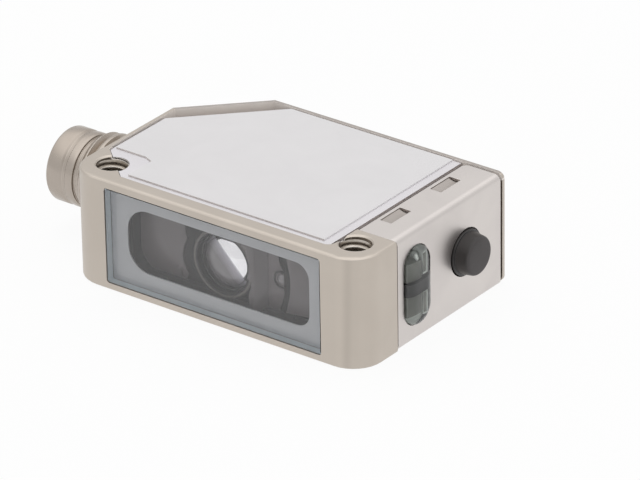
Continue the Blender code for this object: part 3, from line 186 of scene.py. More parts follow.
# Raised fields of the moulding behind the window, as (x, z)
PANEL_BACK = -10.38
PANEL_FRONT = -10.52
RIB_PANEL_FRONT = -11.2
LENS_PANEL_BACK = -11.82
LENS_PANEL_FRONT = -11.94
LEFT_PANEL = (
    (-9.5, 12.2), (-2.6, 12.2), (-2.5, 9.3), (-2.25, 8.6), (-2.8, 7.4), (-3.05, 5.9),
    (-2.8, 4.7), (-2.25, 3.8), (-2.4, 2.7), (-2.3, 2.0), (-6.8, 1.9), (-7.2, 2.4),
    (-9.1, 3.9), (-9.5, 5.3),
)
MIDDLE_PANEL = (
    (8.9, 12.2), (11.4, 12.2), (11.6, 10.6), (11.85, 9.5), (12.3, 8.5), (12.62, 7.6),
    (12.76, 6.6), (12.62, 5.4), (12.18, 4.0), (11.7, 2.8), (11.28, 2.0), (7.2, 2.0),
    (7.7, 3.2), (8.6, 4.6), (9.0, 6.4), (9.1, 8.6), (8.9, 10.4),
)
RIB_PANEL = (
    (13.2, 12.1), (13.42, 10.9), (13.64, 9.9), (13.86, 9.1), (13.98, 8.2), (14.02, 7.2),
    (13.97, 6.3), (13.85, 5.5), (13.69, 4.77), (13.5, 4.0), (13.27, 3.3), (17.3, 3.75),
    (17.3, 12.1),
)
LENS_PANEL = (
    (7.1, 12.2), (9.2, 12.2), (9.2, 2.7), (8.71, 2.97), (8.26, 3.4), (8.17, 4.26),
    (8.36, 5.0), (8.6, 5.77), (8.55, 6.35), (8.34, 6.56), (7.96, 6.72), (8.15, 7.37),
    (8.29, 8.59), (8.04, 9.74), (7.83, 10.36), (7.23, 10.86),
)
LENS_SLOPE = ((9.2, 12.2), (10.2, 12.2), (10.2, 2.1), (9.2, 2.7))

# Indicator window
PIPE_Y = -3.35
PIPE_Z = 7.4
PIPE_HALF_WIDTH = 2.4
PIPE_HALF_LENGTH = 5.25
PIPE_FACE = 27.3
PIPE_RISE = 0.8
PIPE_ROUND = 1.5
PIPE_ROUND_STEPS = 8
PIPE_SIDES = 64
PIPE_BACK = 25.0
BAND_HALF = 0.84
BAND_SCALE = (0.94, 0.94, 1.0)
CARD_SCALE = (0.1, 0.86, 0.93)
GUIDE_FACE = 26.35
GUIDE_BACK = 25.45
# Name, spans across and up, and how far the face is sunk
GUIDE_BLOCKS = (
    ("light_guide_upper", (-1.75, 0.45), (0.95, 3.3), 0.0),
    ("light_guide_lower", (-1.75, 0.45), (-3.7, -0.95), 0.0),
    ("guide_frame_upper", (0.72, 1.62), (1.2, 3.9), 0.3),
    ("guide_frame_lower", (0.72, 1.62), (-4.2, -1.2), 0.3),
)
# A pale little dome high in the smoked window: a painted highlight
HIGHLIGHT_SPOT_PLACE = Vector((26.1, -3.5, 11.1))
HIGHLIGHT_SPOT_RADIUS = 0.3
HIGHLIGHT_SPOT_SCALE = (0.6, 0.8, 1.3)

# Push button
BUTTON_AXIS = Vector((0.0, 6.9, 7.5)) * MM
BUTTON_SIDES = 80
BUTTON_FACE = 28.5
BUTTON_RADIUS = 2.75
BUTTON_TOP_RADIUS = 2.56
BUTTON_ROUND = 0.48
COLLAR_RADIUS = 3.0
COLLAR_FACE = 26.7
BUTTON_FLANGE = ((25.18, 1.2), (25.18, 3.65), (25.26, 3.75), (25.75, 3.75), (25.85, 3.65))


def srgb(*parts):
    """A colour read as 0 to 255, as the linear colour that a shader takes."""
    out = []
    for part in parts:
        value = part / 255
        out.append(value / 12.92 if value <= 0.04045 else ((value + 0.055) / 1.055) ** 2.4)
    return (*out, 1.0)


# Shader nodes, and the groups of them that the finishes share

SOCKET_KINDS = {1: "Float", 3: "Vector", 4: "Color"}


def feed(tree, node, feeds):
    """Gives each input that is named a link or a value."""
    for key, value in feeds.items():
        if isinstance(value, bpy.types.NodeSocket):
            tree.links.new(value, node.inputs[key])
        else:
            node.inputs[key].default_value = value


def outputs_of(tree, kind, feeds, **settings):
    """Adds a node and gives back all that comes out of it."""
    node = tree.nodes.new("ShaderNode" + kind)
    for key, value in settings.items():
        setattr(node, key, value)
    feed(tree, node, feeds)
    return node.outputs


def add(tree, kind, feeds, out=0, **settings):
    """Adds a node and gives back one of its outputs."""
    return outputs_of(tree, kind, feeds, **settings)[out]


def grouped(tree, group, feeds):
    return add(tree, "Group", feeds, node_tree=group)


def calculated(tree, operation, *values, clamp=False):
    return add(tree, "Math", dict(enumerate(values)), operation=operation, use_clamp=clamp)


def vector(tree, operation, *values, out="Vector"):
    return add(tree, "VectorMath", dict(enumerate(values)), out, operation=operation)


def mapped(tree, value, source, target=(0.0, 1.0), **settings):
    """A value carried from one range to another."""
    feeds = {"Value": value, "From Min": source[0], "From Max": source[1]}
    feeds.update({"To Min": target[0], "To Max": target[1]})
    return add(tree, "MapRange", feeds, "Result", **settings)


def mixed(tree, factor, first, second, data_type="RGBA", **settings):
    feeds = {"Factor": factor, "A": first, "B": second}
    return add(tree, "Mix", feeds, "Result", data_type=data_type, **settings)


def node_group(inputs, outputs):
    """Turns a function into the group that it describes: its inputs have a first value each,
    its outputs a kind, and the function gives what feeds the outputs."""

    def built(describe):
        group = bpy.data.node_groups.new(describe.__name__, "ShaderNodeTree")
        for label, value in inputs.items():
            kind = "NodeSocket" + SOCKET_KINDS[len(value) if isinstance(value, tuple) else 1]
            socket = group.interface.new_socket(name=label, in_out="INPUT", socket_type=kind)
            socket.default_value = value
        for label, kind in outputs.items():
            kind = "NodeSocket" + kind
            group.interface.new_socket(name=label, in_out="OUTPUT", socket_type=kind)
        given = group.nodes.new("NodeGroupInput").outputs
        feed(group, group.nodes.new("NodeGroupOutput"), describe(group, given))
        return group

    return built


@node_group({"Radius": 0.0001, "Width": 0.04}, {"Normal": "Vector", "Edge": "Float"})
def soft_edges(group, given):
    """Rounded shading over sharp edges, and a mask of edges: hand polish and a painted highlight.
    """
    bevel = add(group, "Bevel", {"Radius": given["Radius"]}, "Normal", samples=6)
    surface = add(group, "NewGeometry", {}, "Normal")
    facing = vector(group, "DOT_PRODUCT", bevel, surface, out="Value")
    turn = calculated(group, "SUBTRACT", 1.0, facing)
    share = calculated(group, "DIVIDE", turn, given["Width"], clamp=True)
    return {"Normal": bevel, "Edge": share}


@node_group({"Stretch": (1.0, 1.0, 1.0), "Scale": 4000.0, "Detail": 3.0}, {"Height": "Float"})
def finish_grain(group, given):
    """Fine relief of a finish, stretched along a direction where it is brushed."""
    place = add(group, "TexCoord", {}, "Object")
    feeds = {"Roughness": 0.6, "Vector": vector(group, "MULTIPLY", place, given["Stretch"])}
    feeds.update({"Scale": given["Scale"], "Detail": given["Detail"]})
    return {"Height": add(group, "TexNoise", feeds, "Fac")}


@node_group({"Scale": 160.0, "Contrast": 1.6}, {"Cloud": "Float"})
def clouding(group, given):
    """Slow drift over a surface, such as handling marks and uneven plating."""
    place = add(group, "TexCoord", {}, "Object")
    feeds = {"Detail": 4.0, "Distortion": 0.6, "Vector": place, "Scale": given["Scale"]}
    centred = calculated(group, "SUBTRACT", add(group, "TexNoise", feeds, "Fac"), 0.5)
    spread = calculated(group, "MULTIPLY", centred, given["Contrast"])
    return {"Cloud": calculated(group, "ADD", spread, 0.5, clamp=True)}


@node_group(
    {"Light": WHITE, "Dark": WHITE, "Edge Colour": WHITE, "Cloud": 0.5, "Edge": 0.0, "Wear And Highlight": 0.5},
    {"Colour": "Color"},
)
def worn_and_highlit_colour(group, given):
    """Colour of a finish: its clouded middle, and paler edges, worn and partly a painted
    highlight.
    """
    drift = mixed(group, given["Cloud"], given["Light"], given["Dark"])
    amount = calculated(group, "MULTIPLY", given["Edge"], given["Wear And Highlight"], clamp=True)
    return {"Colour": mixed(group, amount, drift, given["Edge Colour"])}


@node_group({"Roughness": 0.4, "Spread": 0.08, "Cloud": 0.5}, {"Roughness": "Float"})
def gloss_drift(group, given):
    """Roughness that drifts with the clouding."""
    centred = calculated(group, "SUBTRACT", given["Cloud"], 0.5)
    drift = calculated(
        group, "MULTIPLY_ADD", centred, given["Spread"], given["Roughness"], clamp=True
    )
    return {"Roughness": drift}


@node_group({"Scale": 620.0, "Size": 0.1, "Amount": 0.6}, {"Speck": "Float"})
def dust_specks(group, given):
    """Scattered pale specks of dust, far apart and of uneven size."""
    place = add(group, "TexCoord", {}, "Object")
    cells = outputs_of(group, "TexVoronoi", {"Vector": place, "Scale": given["Scale"]})
    chance = add(group, "SeparateColor", {"Color": cells["Color"]}, "Red")
    reach = mapped(group, chance, (DUST_RARITY, 1.0), (0.0, given["Size"]))
    near = calculated(group, "LESS_THAN", cells["Distance"], reach)
    return {"Speck": calculated(group, "MULTIPLY", near, given["Amount"], clamp=True)}


@node_group({}, {"Tone": "Float"})
def painted_soft_reflections(group, _):
    """Painted soft reflections in upright bands: a wall's colour is painted lighter or darker by
    the way it faces.
    """
    normal = add(group, "TexCoord", {}, "Normal")
    facing = outputs_of(group, "SeparateXYZ", {"Vector": normal})
    forward = calculated(group, "MULTIPLY", facing["Y"], -1.0)
    turn = calculated(group, "ARCTAN2", facing["X"], forward)
    painted_reflections = add(group, "ValToRGB", {"Fac": mapped(group, turn, (0.0, QUARTER))}, "Color")
    painted_reflections.node.color_ramp.interpolation = "EASE"
    ends = painted_reflections.node.color_ramp.elements
    while len(ends) < len(PAINTED_REFLECTION_BANDS):
        ends.new(0.5)
    for element, (where, tone) in zip(ends, PAINTED_REFLECTION_BANDS):
        element.position = where
        element.color = (tone, tone, tone, 1.0)
    tone = mapped(group, painted_reflections, (0.0, 1.0), PAINTED_REFLECTION_TONES)
    upright = mapped(group, calculated(group, "ABSOLUTE", facing["Z"]), (0.9, 0.4))
    return {"Tone": mixed(group, upright, 1.0, tone, data_type="FLOAT")}


def new_material(name, colour=(0.8, 0.8, 0.8, 1.0)):
    """A material with its nodes and its shader; the colour is the plain one of its viewport."""
    material = bpy.data.materials.new(name)
    material.use_nodes = True
    material.diffuse_color = colour
    return material, material.node_tree, material.node_tree.nodes["Principled BSDF"]


def finish(
    name, light, dark, edge, roughness, metallic=0.0, spread=0.1, clouds=160.0,
    contrast=1.6, grain=3000.0, detail=3.0, stretch=(1.0, 1.0, 1.0), relief=0.002,
    bevel=0.1, width=0.05, wear_and_highlight=0.6, specular=0.5, coat=0.0, dust=0.0, painted_reflections=False,
):
    """An opaque finish: grain, clouding, painted reflections if asked, edges paler by being worn
    and by a painted highlight. Colours run from 0 to 255 and the number after them is the
    roughness."""
    light, dark, edge = srgb(*light), srgb(*dark), srgb(*edge)
    material, tree, shader = new_material(name, light)
    feeds = {"Radius": bevel * MM, "Width": width}
    edges = outputs_of(tree, "Group", feeds, node_tree=soft_edges)
    feeds = {"Stretch": stretch, "Scale": grain, "Detail": detail}
    feeds = {"Height": grouped(tree, finish_grain, feeds), "Normal": edges["Normal"]}
    bump = add(tree, "Bump", {"Strength": 1.0, "Distance": relief * MM, **feeds})
    cloud = grouped(tree, clouding, {"Scale": clouds, "Contrast": contrast})
    feeds = {"Light": light, "Dark": dark, "Edge Colour": edge, "Wear And Highlight": wear_and_highlight}
    base = grouped(tree, worn_and_highlit_colour, {"Cloud": cloud, "Edge": edges["Edge"], **feeds})
    feeds = {"Roughness": roughness, "Spread": spread, "Cloud": cloud}
    gloss = grouped(tree, gloss_drift, feeds)
    if dust:
        base = mixed(tree, grouped(tree, dust_specks, {"Amount": dust}), base, srgb(226, 224, 220))
    # Painted reflections: the colour painted lighter or darker by the way an upright face turns
    if painted_reflections:
        tone = grouped(tree, painted_soft_reflections, {})
        base = mixed(tree, 1.0, base, tone, blend_type="MULTIPLY")
    feed(tree, shader, {
        "Base Color": base, "Roughness": gloss, "Normal": bump, "Metallic": metallic,
        "Specular IOR Level": specular, "Coat Weight": coat, "Coat Roughness": 0.1,
    })
    return material


def clear_finish(name, tint, roughness, index=1.49, relief=0.0002):
    """A clear solid, tinted in its mass, with the faint ripple of a moulded or ground face."""
    material, tree, shader = new_material(name, tint)
    cloud = grouped(tree, clouding, {"Scale": 260.0, "Contrast": 1.2})
    feeds = {"Roughness": roughness, "Spread": roughness * 0.6, "Cloud": cloud}
    gloss = grouped(tree, gloss_drift, feeds)
    grain = grouped(tree, finish_grain, {"Scale": 900.0, "Detail": 1.0})
    bump = add(tree, "Bump", {"Strength": 1.0, "Distance": relief * MM, "Height": grain})
    feed(tree, shader, {
        "Base Color": tint, "Transmission Weight": 1.0, "IOR": index,
        "Roughness": gloss, "Normal": bump,
    })
    return material


def panel_mould(name, tone):
    """Moulding behind the window, painted lighter or darker by a factor: painted light and shade.
    """
    colours = [[part * tone for part in colour] for colour in PANEL_COLOURS]
    return finish(
        name, *colours, 0.3, grain=2400.0, relief=0.0008, bevel=0.06, wear_and_highlight=0.4, dust=0.8
    )


# Cast satin nickel: its upright walls carry painted soft reflections, and its paler edges are worn
# and partly a painted highlight
NICKEL = finish(
    "cast_satin_nickel", (197, 188, 178), (189, 180, 170), (212, 205, 197), 0.34, metallic=1.0,
    spread=0.08, clouds=120.0, contrast=1.2, grain=5200.0, relief=0.0025, bevel=0.08, wear_and_highlight=0.5,
    painted_reflections=True,
)
# A paler, matt copy of the nickel for the walls under the rim: painted light against the shade in
# the groove
NICKEL_PAINTED_LIGHT = finish(
    "recess_satin_nickel_painted_light", (230, 223, 217), (219, 212, 206), (238, 232, 226), 0.5, spread=0.08,
    clouds=420.0, grain=4200.0, relief=0.003, bevel=0.06, wear_and_highlight=0.4,
)
# A darker copy of the nickel for the hook tops, the rim's top and the walls of the pane's recess:
# painted shade
NICKEL_PAINTED_SHADE = finish(
    "hook_satin_nickel_painted_shade", (181, 174, 169), (163, 155, 149), (206, 200, 194), 0.5, metallic=0.4,
    spread=0.08, clouds=420.0, grain=4200.0, relief=0.003, bevel=0.08,
)
NICKEL_THREAD = finish(
    "thread_nickel", (196, 189, 180), (128, 117, 103), (246, 242, 236), 0.24, metallic=0.9,
    spread=0.08, clouds=600.0, contrast=2.2, grain=2600.0, relief=0.001, width=0.04, wear_and_highlight=0.9,
)
NICKEL_TURNED = finish(
    "turned_satin_nickel", (184, 175, 166), (164, 154, 144), (214, 206, 197), 0.27, metallic=1.0,
    spread=0.08, grain=2600.0, stretch=(6.0, 0.5, 0.5), bevel=0.08, wear_and_highlight=0.7,
)
PLATE_STEEL = finish(
    "brushed_plate_steel", (233, 230, 233), (223, 220, 223), (238, 236, 239), 0.3, metallic=1.0,
    spread=0.08, stretch=(0.05, 2.5, 1.0), relief=0.0012, bevel=0.06,
)
COVER_STEEL = finish(
    "rolled_cover_steel", (216, 210, 206), (206, 200, 197), (218, 213, 210), 0.35, metallic=1.0,
    spread=0.06, grain=1800.0, detail=4.0, stretch=(1.0, 0.5, 1.4), relief=0.0014,
)
LABEL_FILM = finish(
    "label_white_film", (224, 222, 223), (219, 217, 218), (236, 235, 236), 0.5, spread=0.08,
    grain=7000.0, relief=0.0012, bevel=0.01, wear_and_highlight=0.2,
)
# The label's cut edge, painted greyer than the film: painted shade along the label's thickness
LABEL_EDGE_PAINTED_SHADE = finish(
    "label_cut_edge_painted_shade", (206, 200, 196), (196, 190, 186), (212, 207, 203), 0.6, spread=0.06,
    grain=5200.0, relief=0.001, bevel=0.02, wear_and_highlight=0.2,
)
BLACK_MOULD = finish(
    "black_moulding", (30, 27, 28), (23, 21, 22), (60, 57, 58), 0.5, spread=0.12, grain=3600.0,
    relief=0.0012, specular=0.25, dust=0.5,
)
# The barrel moulding's much paler edge colour is mostly a painted highlight along its edges
BARREL_MOULD = finish(
    "barrel_moulding", (40, 38, 39), (31, 30, 31), (104, 101, 101), 0.3, spread=0.08,
    relief=0.0008, wear_and_highlight=0.8,
)
# A paler copy of the black moulding for the barrel's rolled rim: a painted highlight along it
RIM_PAINTED_HIGHLIGHT_MOULD = finish(
    "barrel_rim_painted_highlight", (100, 94, 90), (80, 75, 72), (150, 143, 137), 0.2, spread=0.06,
    relief=0.0006, bevel=0.08,
)
MONITOR_GLASS = finish(
    "monitor_lens_glass", (128, 124, 126), (98, 95, 97), (176, 172, 174), 0.16, metallic=0.4,
    spread=0.04, clouds=1400.0, contrast=2.6, grain=1800.0, relief=0.0004, bevel=0.12, wear_and_highlight=0.8,
    coat=0.6,
)
BUTTON_RUBBER = finish(
    "button_rubber", (66, 62, 62), (58, 55, 55), (86, 82, 82), 0.62, grain=5200.0, relief=0.004,
    wear_and_highlight=0.5,
)
# Darker rubber for the cap's side: a glossier finish, and painted shade against the lit face
CAP_SIDE_RUBBER_PAINTED_SHADE = finish(
    "cap_side_rubber_painted_shade", (46, 42, 41), (40, 37, 36), (62, 58, 57), 0.4, grain=5200.0, wear_and_highlight=0.4,
    dust=0.5,
)
COLLAR_RUBBER = finish(
    "collar_gloss_rubber", (34, 31, 31), (27, 25, 25), (56, 53, 52), 0.28, spread=0.08,
    bevel=0.08, wear_and_highlight=0.4,
)
# Middle field painted lighter against the shade the lens panel casts on it, lens panel painted
# darker: painted light and shade
PANEL_MOULD = panel_mould("inner_panel_moulding", 1.0)
MIDDLE_MOULD_PAINTED_LIGHT = panel_mould("middle_panel_moulding_painted_light", 1.05)
LENS_SIDE_MOULD_PAINTED_SHADE = panel_mould("lens_panel_moulding_painted_shade", 0.93)
BORDER_PRINT = finish(
    "window_border_print", (195, 196, 199), (188, 189, 192), (170, 173, 178), 0.5, spread=0.06,
    grain=6000.0, relief=0.001, bevel=0.03, wear_and_highlight=0.3,
)
GROUND_EDGE = finish(
    "ground_glass_edge", (238, 244, 247), (222, 232, 237), (244, 248, 250), 0.4, grain=3200.0,
    relief=0.003, bevel=0.05, wear_and_highlight=0.4,
)
PANE_GLASS = clear_finish("pane_glass", (0.988, 0.988, 0.99, 1.0), 0.004, index=1.5, relief=0.0)
SMOKED_CLEAR = clear_finish("smoked_clear", (0.80, 0.83, 0.81, 1.0), 0.02)
GUIDE_CARD = finish(
    "light_guide_card", (132, 132, 126), (108, 109, 104), (176, 178, 172), 0.4, clouds=420.0,
    contrast=2.2, grain=2400.0, wear_and_highlight=0.5,
)
BACK_CARD = finish(
    "window_back_card", (222, 225, 221), (204, 208, 203), (236, 238, 235), 0.4, clouds=500.0,
    contrast=1.8, grain=2400.0, wear_and_highlight=0.3,
)
GUIDE_CLEAR = finish(
    "light_guide_rim", (236, 239, 235), (220, 224, 220), (250, 251, 250), 0.25, clouds=420.0,
    grain=2400.0,
)
BAND_PLASTIC = finish(
    "band_plastic", (54, 52, 54), (45, 43, 45), (104, 102, 104), 0.38, grain=3200.0, bevel=0.08,
    wear_and_highlight=0.7,
)
BOARD_GREEN = finish(
    "board_green", (34, 86, 58), (26, 70, 47), (120, 140, 110), 0.38, clouds=420.0, grain=2600.0,
    relief=0.003,
)
CHIP_BLACK = finish(
    "chip_black", (40, 40, 42), (31, 31, 33), (80, 80, 82), 0.55, grain=5200.0, relief=0.003,
    wear_and_highlight=0.5,
)
LED_WHITE = finish(
    "led_resin", (226, 222, 202), (214, 208, 184), (240, 238, 226), 0.3, clouds=600.0, wear_and_highlight=0.3,
)
GOLD_PLATE = finish(
    "gold_plate", (232, 192, 112), (216, 174, 96), (250, 224, 160), 0.24, metallic=1.0,
    stretch=(4.0, 1.0, 1.0), relief=0.001, bevel=0.05,
)
NICKEL_BRASS = finish(
    "nickelled_brass", (206, 196, 176), (192, 181, 160), (232, 224, 206), 0.28, metallic=1.0,
    grain=2600.0,
)
FLEX_AMBER = finish(
    "flex_amber", (196, 128, 52), (178, 112, 42), (226, 170, 90), 0.32, clouds=500.0,
    grain=2400.0, relief=0.001, wear_and_highlight=0.3,
)
SEAL_BLACK = finish(
    "seal_black", (30, 30, 31), (24, 24, 25), (52, 52, 53), 0.66, grain=4200.0, relief=0.003,
    wear_and_highlight=0.3,
)
LENS_CLEAR = clear_finish("inner_lens_clear", (0.94, 0.95, 0.97, 1.0), 0.01)
MIRROR_FILM = finish(
    "half_mirror_film", (196, 198, 206), (180, 183, 192), (230, 232, 238), 0.12, metallic=0.8,
    spread=0.04, grain=1800.0, relief=0.0005, wear_and_highlight=0.4,
)


# Modelling helpers, each one a step done by hand

def deselect_all():
    if bpy.context.object and bpy.context.object.mode != "OBJECT":
        leave_edit()
    for piece in list(bpy.context.selected_objects):
        piece.select_set(False)


def pick(piece):
    deselect_all()
    piece.select_set(True)
    bpy.context.view_layer.objects.active = piece


def edit(piece):
    """Opens a piece for editing, with all of it selected."""
    pick(piece)
    bpy.ops.object.mode_set(mode="EDIT")
    select_all()


def leave_edit():
    bpy.ops.object.mode_set(mode="OBJECT")


def select_all():
    bpy.ops.mesh.select_all(action="SELECT")


def select_where(piece, test):
    """Selects the vertices whose place passes the test, in edit mode."""
    leave_edit()
    for face in piece.data.polygons:
        face.select = False
    for line in piece.data.edges:
        line.select = False
    for point in piece.data.vertices:
        point.select = test(point.co)
    bpy.ops.object.mode_set(mode="EDIT")
    bpy.context.tool_settings.mesh_select_mode = (True, False, False)


def slide(piece, test, step):
    """Moves the vertices whose place passes the test."""
    select_where(piece, test)
    bpy.ops.transform.translate(value=step)
    leave_edit()


def drawn(name):
    """The object that the last step drew, under its name."""
    piece = bpy.context.object
    piece.name = name
    return piece


def placed(name, data):
    """A new object in the scene."""
    piece = bpy.data.objects.new(name, data)
    bpy.context.scene.collection.objects.link(piece)
    return piece


def place_into_mesh(piece):
    pick(piece)
    bpy.ops.object.transform_apply(location=True, rotation=True, scale=True)


def modified(piece, kind, **settings):
    """Gives a piece a modifier and applies it."""
    modifier = piece.modifiers.new(kind, kind)
    for key, value in settings.items():
        setattr(modifier, key, value)
    pick(piece)
    bpy.ops.object.modifier_apply(modifier=kind)


def smooth(piece, angle):
    pick(piece)
    bpy.ops.object.shade_smooth_by_angle(angle=math.radians(angle))


def keep_flats(piece):
    """Shades a flat face flat beside a rounded edge: the larger face sets the normal."""
    modified(piece, "WEIGHTED_NORMAL", mode="FACE_AREA", weight=100, keep_sharp=True)


def soften(piece, width, angle=30):
    """Rounds the edges that turn by more than an angle."""
    modified(piece, "BEVEL", width=width, segments=2, angle_limit=math.radians(angle))


def dress(piece, material, slot, *nodes, body="sensor_body"):
    """The finish of a piece, the body that it moves with and the nodes that it stands for."""
    piece.data.materials.clear()
    for entry in material if isinstance(material, list) else (material,):
        piece.data.materials.append(entry)
    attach(piece, body)
    if nodes:
        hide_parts(*nodes)


def copied_solid(node, name):
    """The solid of a node as one joined skin, ready for rounding and finish."""
    piece = placed(name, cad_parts[node].data.copy())
    pick(piece)
    bpy.ops.mesh.customdata_custom_splitnormals_clear()
    edit(piece)
    bpy.ops.mesh.remove_doubles(threshold=SOLID_WELD)
    leave_edit()
    return piece


def dress_solid(piece, material, slot, node):
    smooth(piece, SOLID_ANGLE)
    dress(piece, material, slot, node)


def drawn_line(name, places):
    """A closed line through places in mm."""
    deselect_all()
    bpy.ops.mesh.primitive_circle_add(vertices=len(places), radius=MM, fill_type="NOTHING")
    piece = drawn(name)
    for point, place in zip(piece.data.vertices, places):
        point.co = [part * MM for part in place]
    return piece


def turned_solid(name, profile, centre, axis=INWARD, sides=LENS_SIDES, angle=TURNED_ANGLE):
    """A ring drawn out along an axis, from one section to the next, (place, radius) in mm, with
    its ends closed and smooth up to an angle."""
    deselect_all()
    first_place, first_radius = profile[0]
    direction = Vector(axis)
    bpy.ops.mesh.primitive_circle_add(
        vertices=sides, radius=first_radius * MM, fill_type="NOTHING",
        location=Vector(centre) + direction * first_place * MM,
        rotation=direction.to_track_quat("Z", "Y").to_euler(),
    )
    piece = drawn(name)
    place_into_mesh(piece)
    edit(piece)
    for (place, radius), (last_place, last_radius) in zip(profile[1:], profile[:-1]):
        step = direction * (place - last_place) * MM
        bpy.ops.mesh.extrude_region_move(TRANSFORM_OT_translate={"value": step})
        scale = radius / last_radius
        stretch = [1.0 if abs(part) > 0.5 else scale for part in direction]
        bpy.ops.transform.resize(
            value=stretch, center_override=Vector(centre) + direction * place * MM
        )
    leave_edit()
    close_ends(piece)
    smooth(piece, angle)
    return piece


def close_ends(piece):
    edit(piece)
    bpy.ops.mesh.remove_doubles(threshold=WELD)
    bpy.ops.mesh.select_non_manifold(extend=False)
    bpy.ops.mesh.edge_face_add()
    select_all()
    bpy.ops.mesh.normals_make_consistent(inside=False)
    leave_edit()


def rounded(place, radius, size, steps, outward):
    """Points of a rounded corner in a turned profile, from the face to the side."""
    points = []
    for index in range(steps + 1):
        turn = QUARTER * index / steps
        along = size * (1 - math.cos(turn))
        across = size * (1 - math.sin(turn))
        points.append((place + outward * along, radius - across))
    return points


# Cast body, plate, label and cover

def places_of(piece, face):
    return [piece.data.vertices[index].co for index in face.vertices]


def under_rim(piece, face):
    """Whether a face of the body is an upright wall under the rim, behind the front frame."""
    lowest = min(place.z for place in places_of(piece, face))
    behind = face.center.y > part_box("front_glass")[0].y
    return behind and abs(face.normal.z) < UPRIGHT and lowest > GROOVE_LOW


def on_rim(piece, face):
    """Whether a face is the narrow top of the rim, behind the bosses."""
    front = min(place.y for place in places_of(piece, face))
    return face.normal.z > LEVEL and face.center.z > GROOVE_HIGH and front > RIM_FRONT


def in_window_recess(piece, face):
    """Whether a face is a side wall of the recess that holds the pane."""
    low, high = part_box("front_glass")
    low, high = Vector(low) - RECESS_MARGIN, Vector(high) + RECESS_MARGIN
    inside = all(
        low.x < place.x < high.x and place.y < high.y and low.z < place.z < high.z
        for place in places_of(piece, face)
    )
    return inside and abs(face.normal.y) < 0.3


def tighten_fold(cover, low, high):
    """The lower fold of the cover is tighter than the upper one, outside and inside."""
    bend = COVER_FOLDS[0][1] * MM
    centre = Vector((high.x - bend, 0.0, low.z + bend))
    for inset, radius, tight in COVER_FOLDS:
        edge_x = high.x - inset * MM
        edge_z = low.z + inset * MM
        reach = (radius + FOLD_SLACK) * MM

        def in_fold(co):
            out = math.hypot(co.x - centre.x, co.z - centre.z) / MM
            near = co.x > edge_x - reach and co.z < edge_z + reach
            return near and abs(out - radius) < 2 * FOLD_SLACK

        select_where(cover, in_fold)
        share = tight / radius
        bpy.ops.transform.resize(
            value=(share, 1.0, share), center_override=(edge_x, 0.0, edge_z),
            orient_type="GLOBAL",
        )
        leave_edit()


def finish_metalwork():
    housing = copied_solid("housing", "cast_body")
    dress_solid(housing, [NICKEL, NICKEL_PAINTED_LIGHT, NICKEL_PAINTED_SHADE], "satin_nickel", "housing")
    keep_flats(housing)
    # Walls under the rim take the painted-light copy of the nickel; hook tops, the rim's top and
    # the pane recess's walls take the painted-shade copy
    for face in housing.data.polygons:
        hook_top = face.normal.z > LEVEL and GROOVE_LOW < face.center.z < GROOVE_HIGH
        if under_rim(housing, face):
            face.material_index = 1
        elif hook_top or on_rim(housing, face) or in_window_recess(housing, face):
            face.material_index = 2

    plate = copied_solid("side_plate", "bright_side_plate")
    plate_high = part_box("side_plate")[1]
    slide(plate, lambda co: co.x > plate_high.x - 0.05 * MM, (-PLATE_SEAM, 0.0, 0.0))
    dress_solid(plate, PLATE_STEEL, "plate_steel", "side_plate")

    label = copied_solid("label_film", "blank_label")
    film_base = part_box("label_film")[0].z
    for point in label.data.vertices:
        if point.co.z < film_base + 0.02 * MM:
            point.co.z = plate_high.z + LABEL_LIFT
    dress_solid(label, [LABEL_FILM, LABEL_EDGE_PAINTED_SHADE], "label_white", "label_film")
    # The cut edges take the greyer film: a painted shade line
    for face in label.data.polygons:
        cut = abs(face.normal.z) < 0.5 and face.normal.x < 0.5
        face.material_index = 1 if cut else 0

    cover = copied_solid("end_cover", "folded_end_cover")
    low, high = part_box("end_cover")
    slide(
        cover, lambda co: co.y < low.y + 0.03 * MM and co.x > high.x - 0.9 * MM,
        (0.0, COVER_SEAM, 0.0),
    )
    tighten_fold(cover, low, high)
    dress_solid(cover, COVER_STEEL, "cover_steel", "end_cover")
    keep_flats(cover)


# Threads

def thread_ridge(name, section, centre, axis, pitch, turns, steps):
    """A small section, as (place, radius), carried round an axis while it climbs."""
    piece = drawn_line(name, [(radius, 0.0, place) for place, radius in section])
    modified(
        piece, "SCREW", axis="Z", screw_offset=pitch * MM, iterations=turns, steps=steps,
        render_steps=steps, use_merge_vertices=False,
    )
    close_ends(piece)
    piece.rotation_euler = Vector(axis).to_track_quat("Z", "Y").to_euler()
    piece.location = Vector(centre)
    place_into_mesh(piece)
    return piece


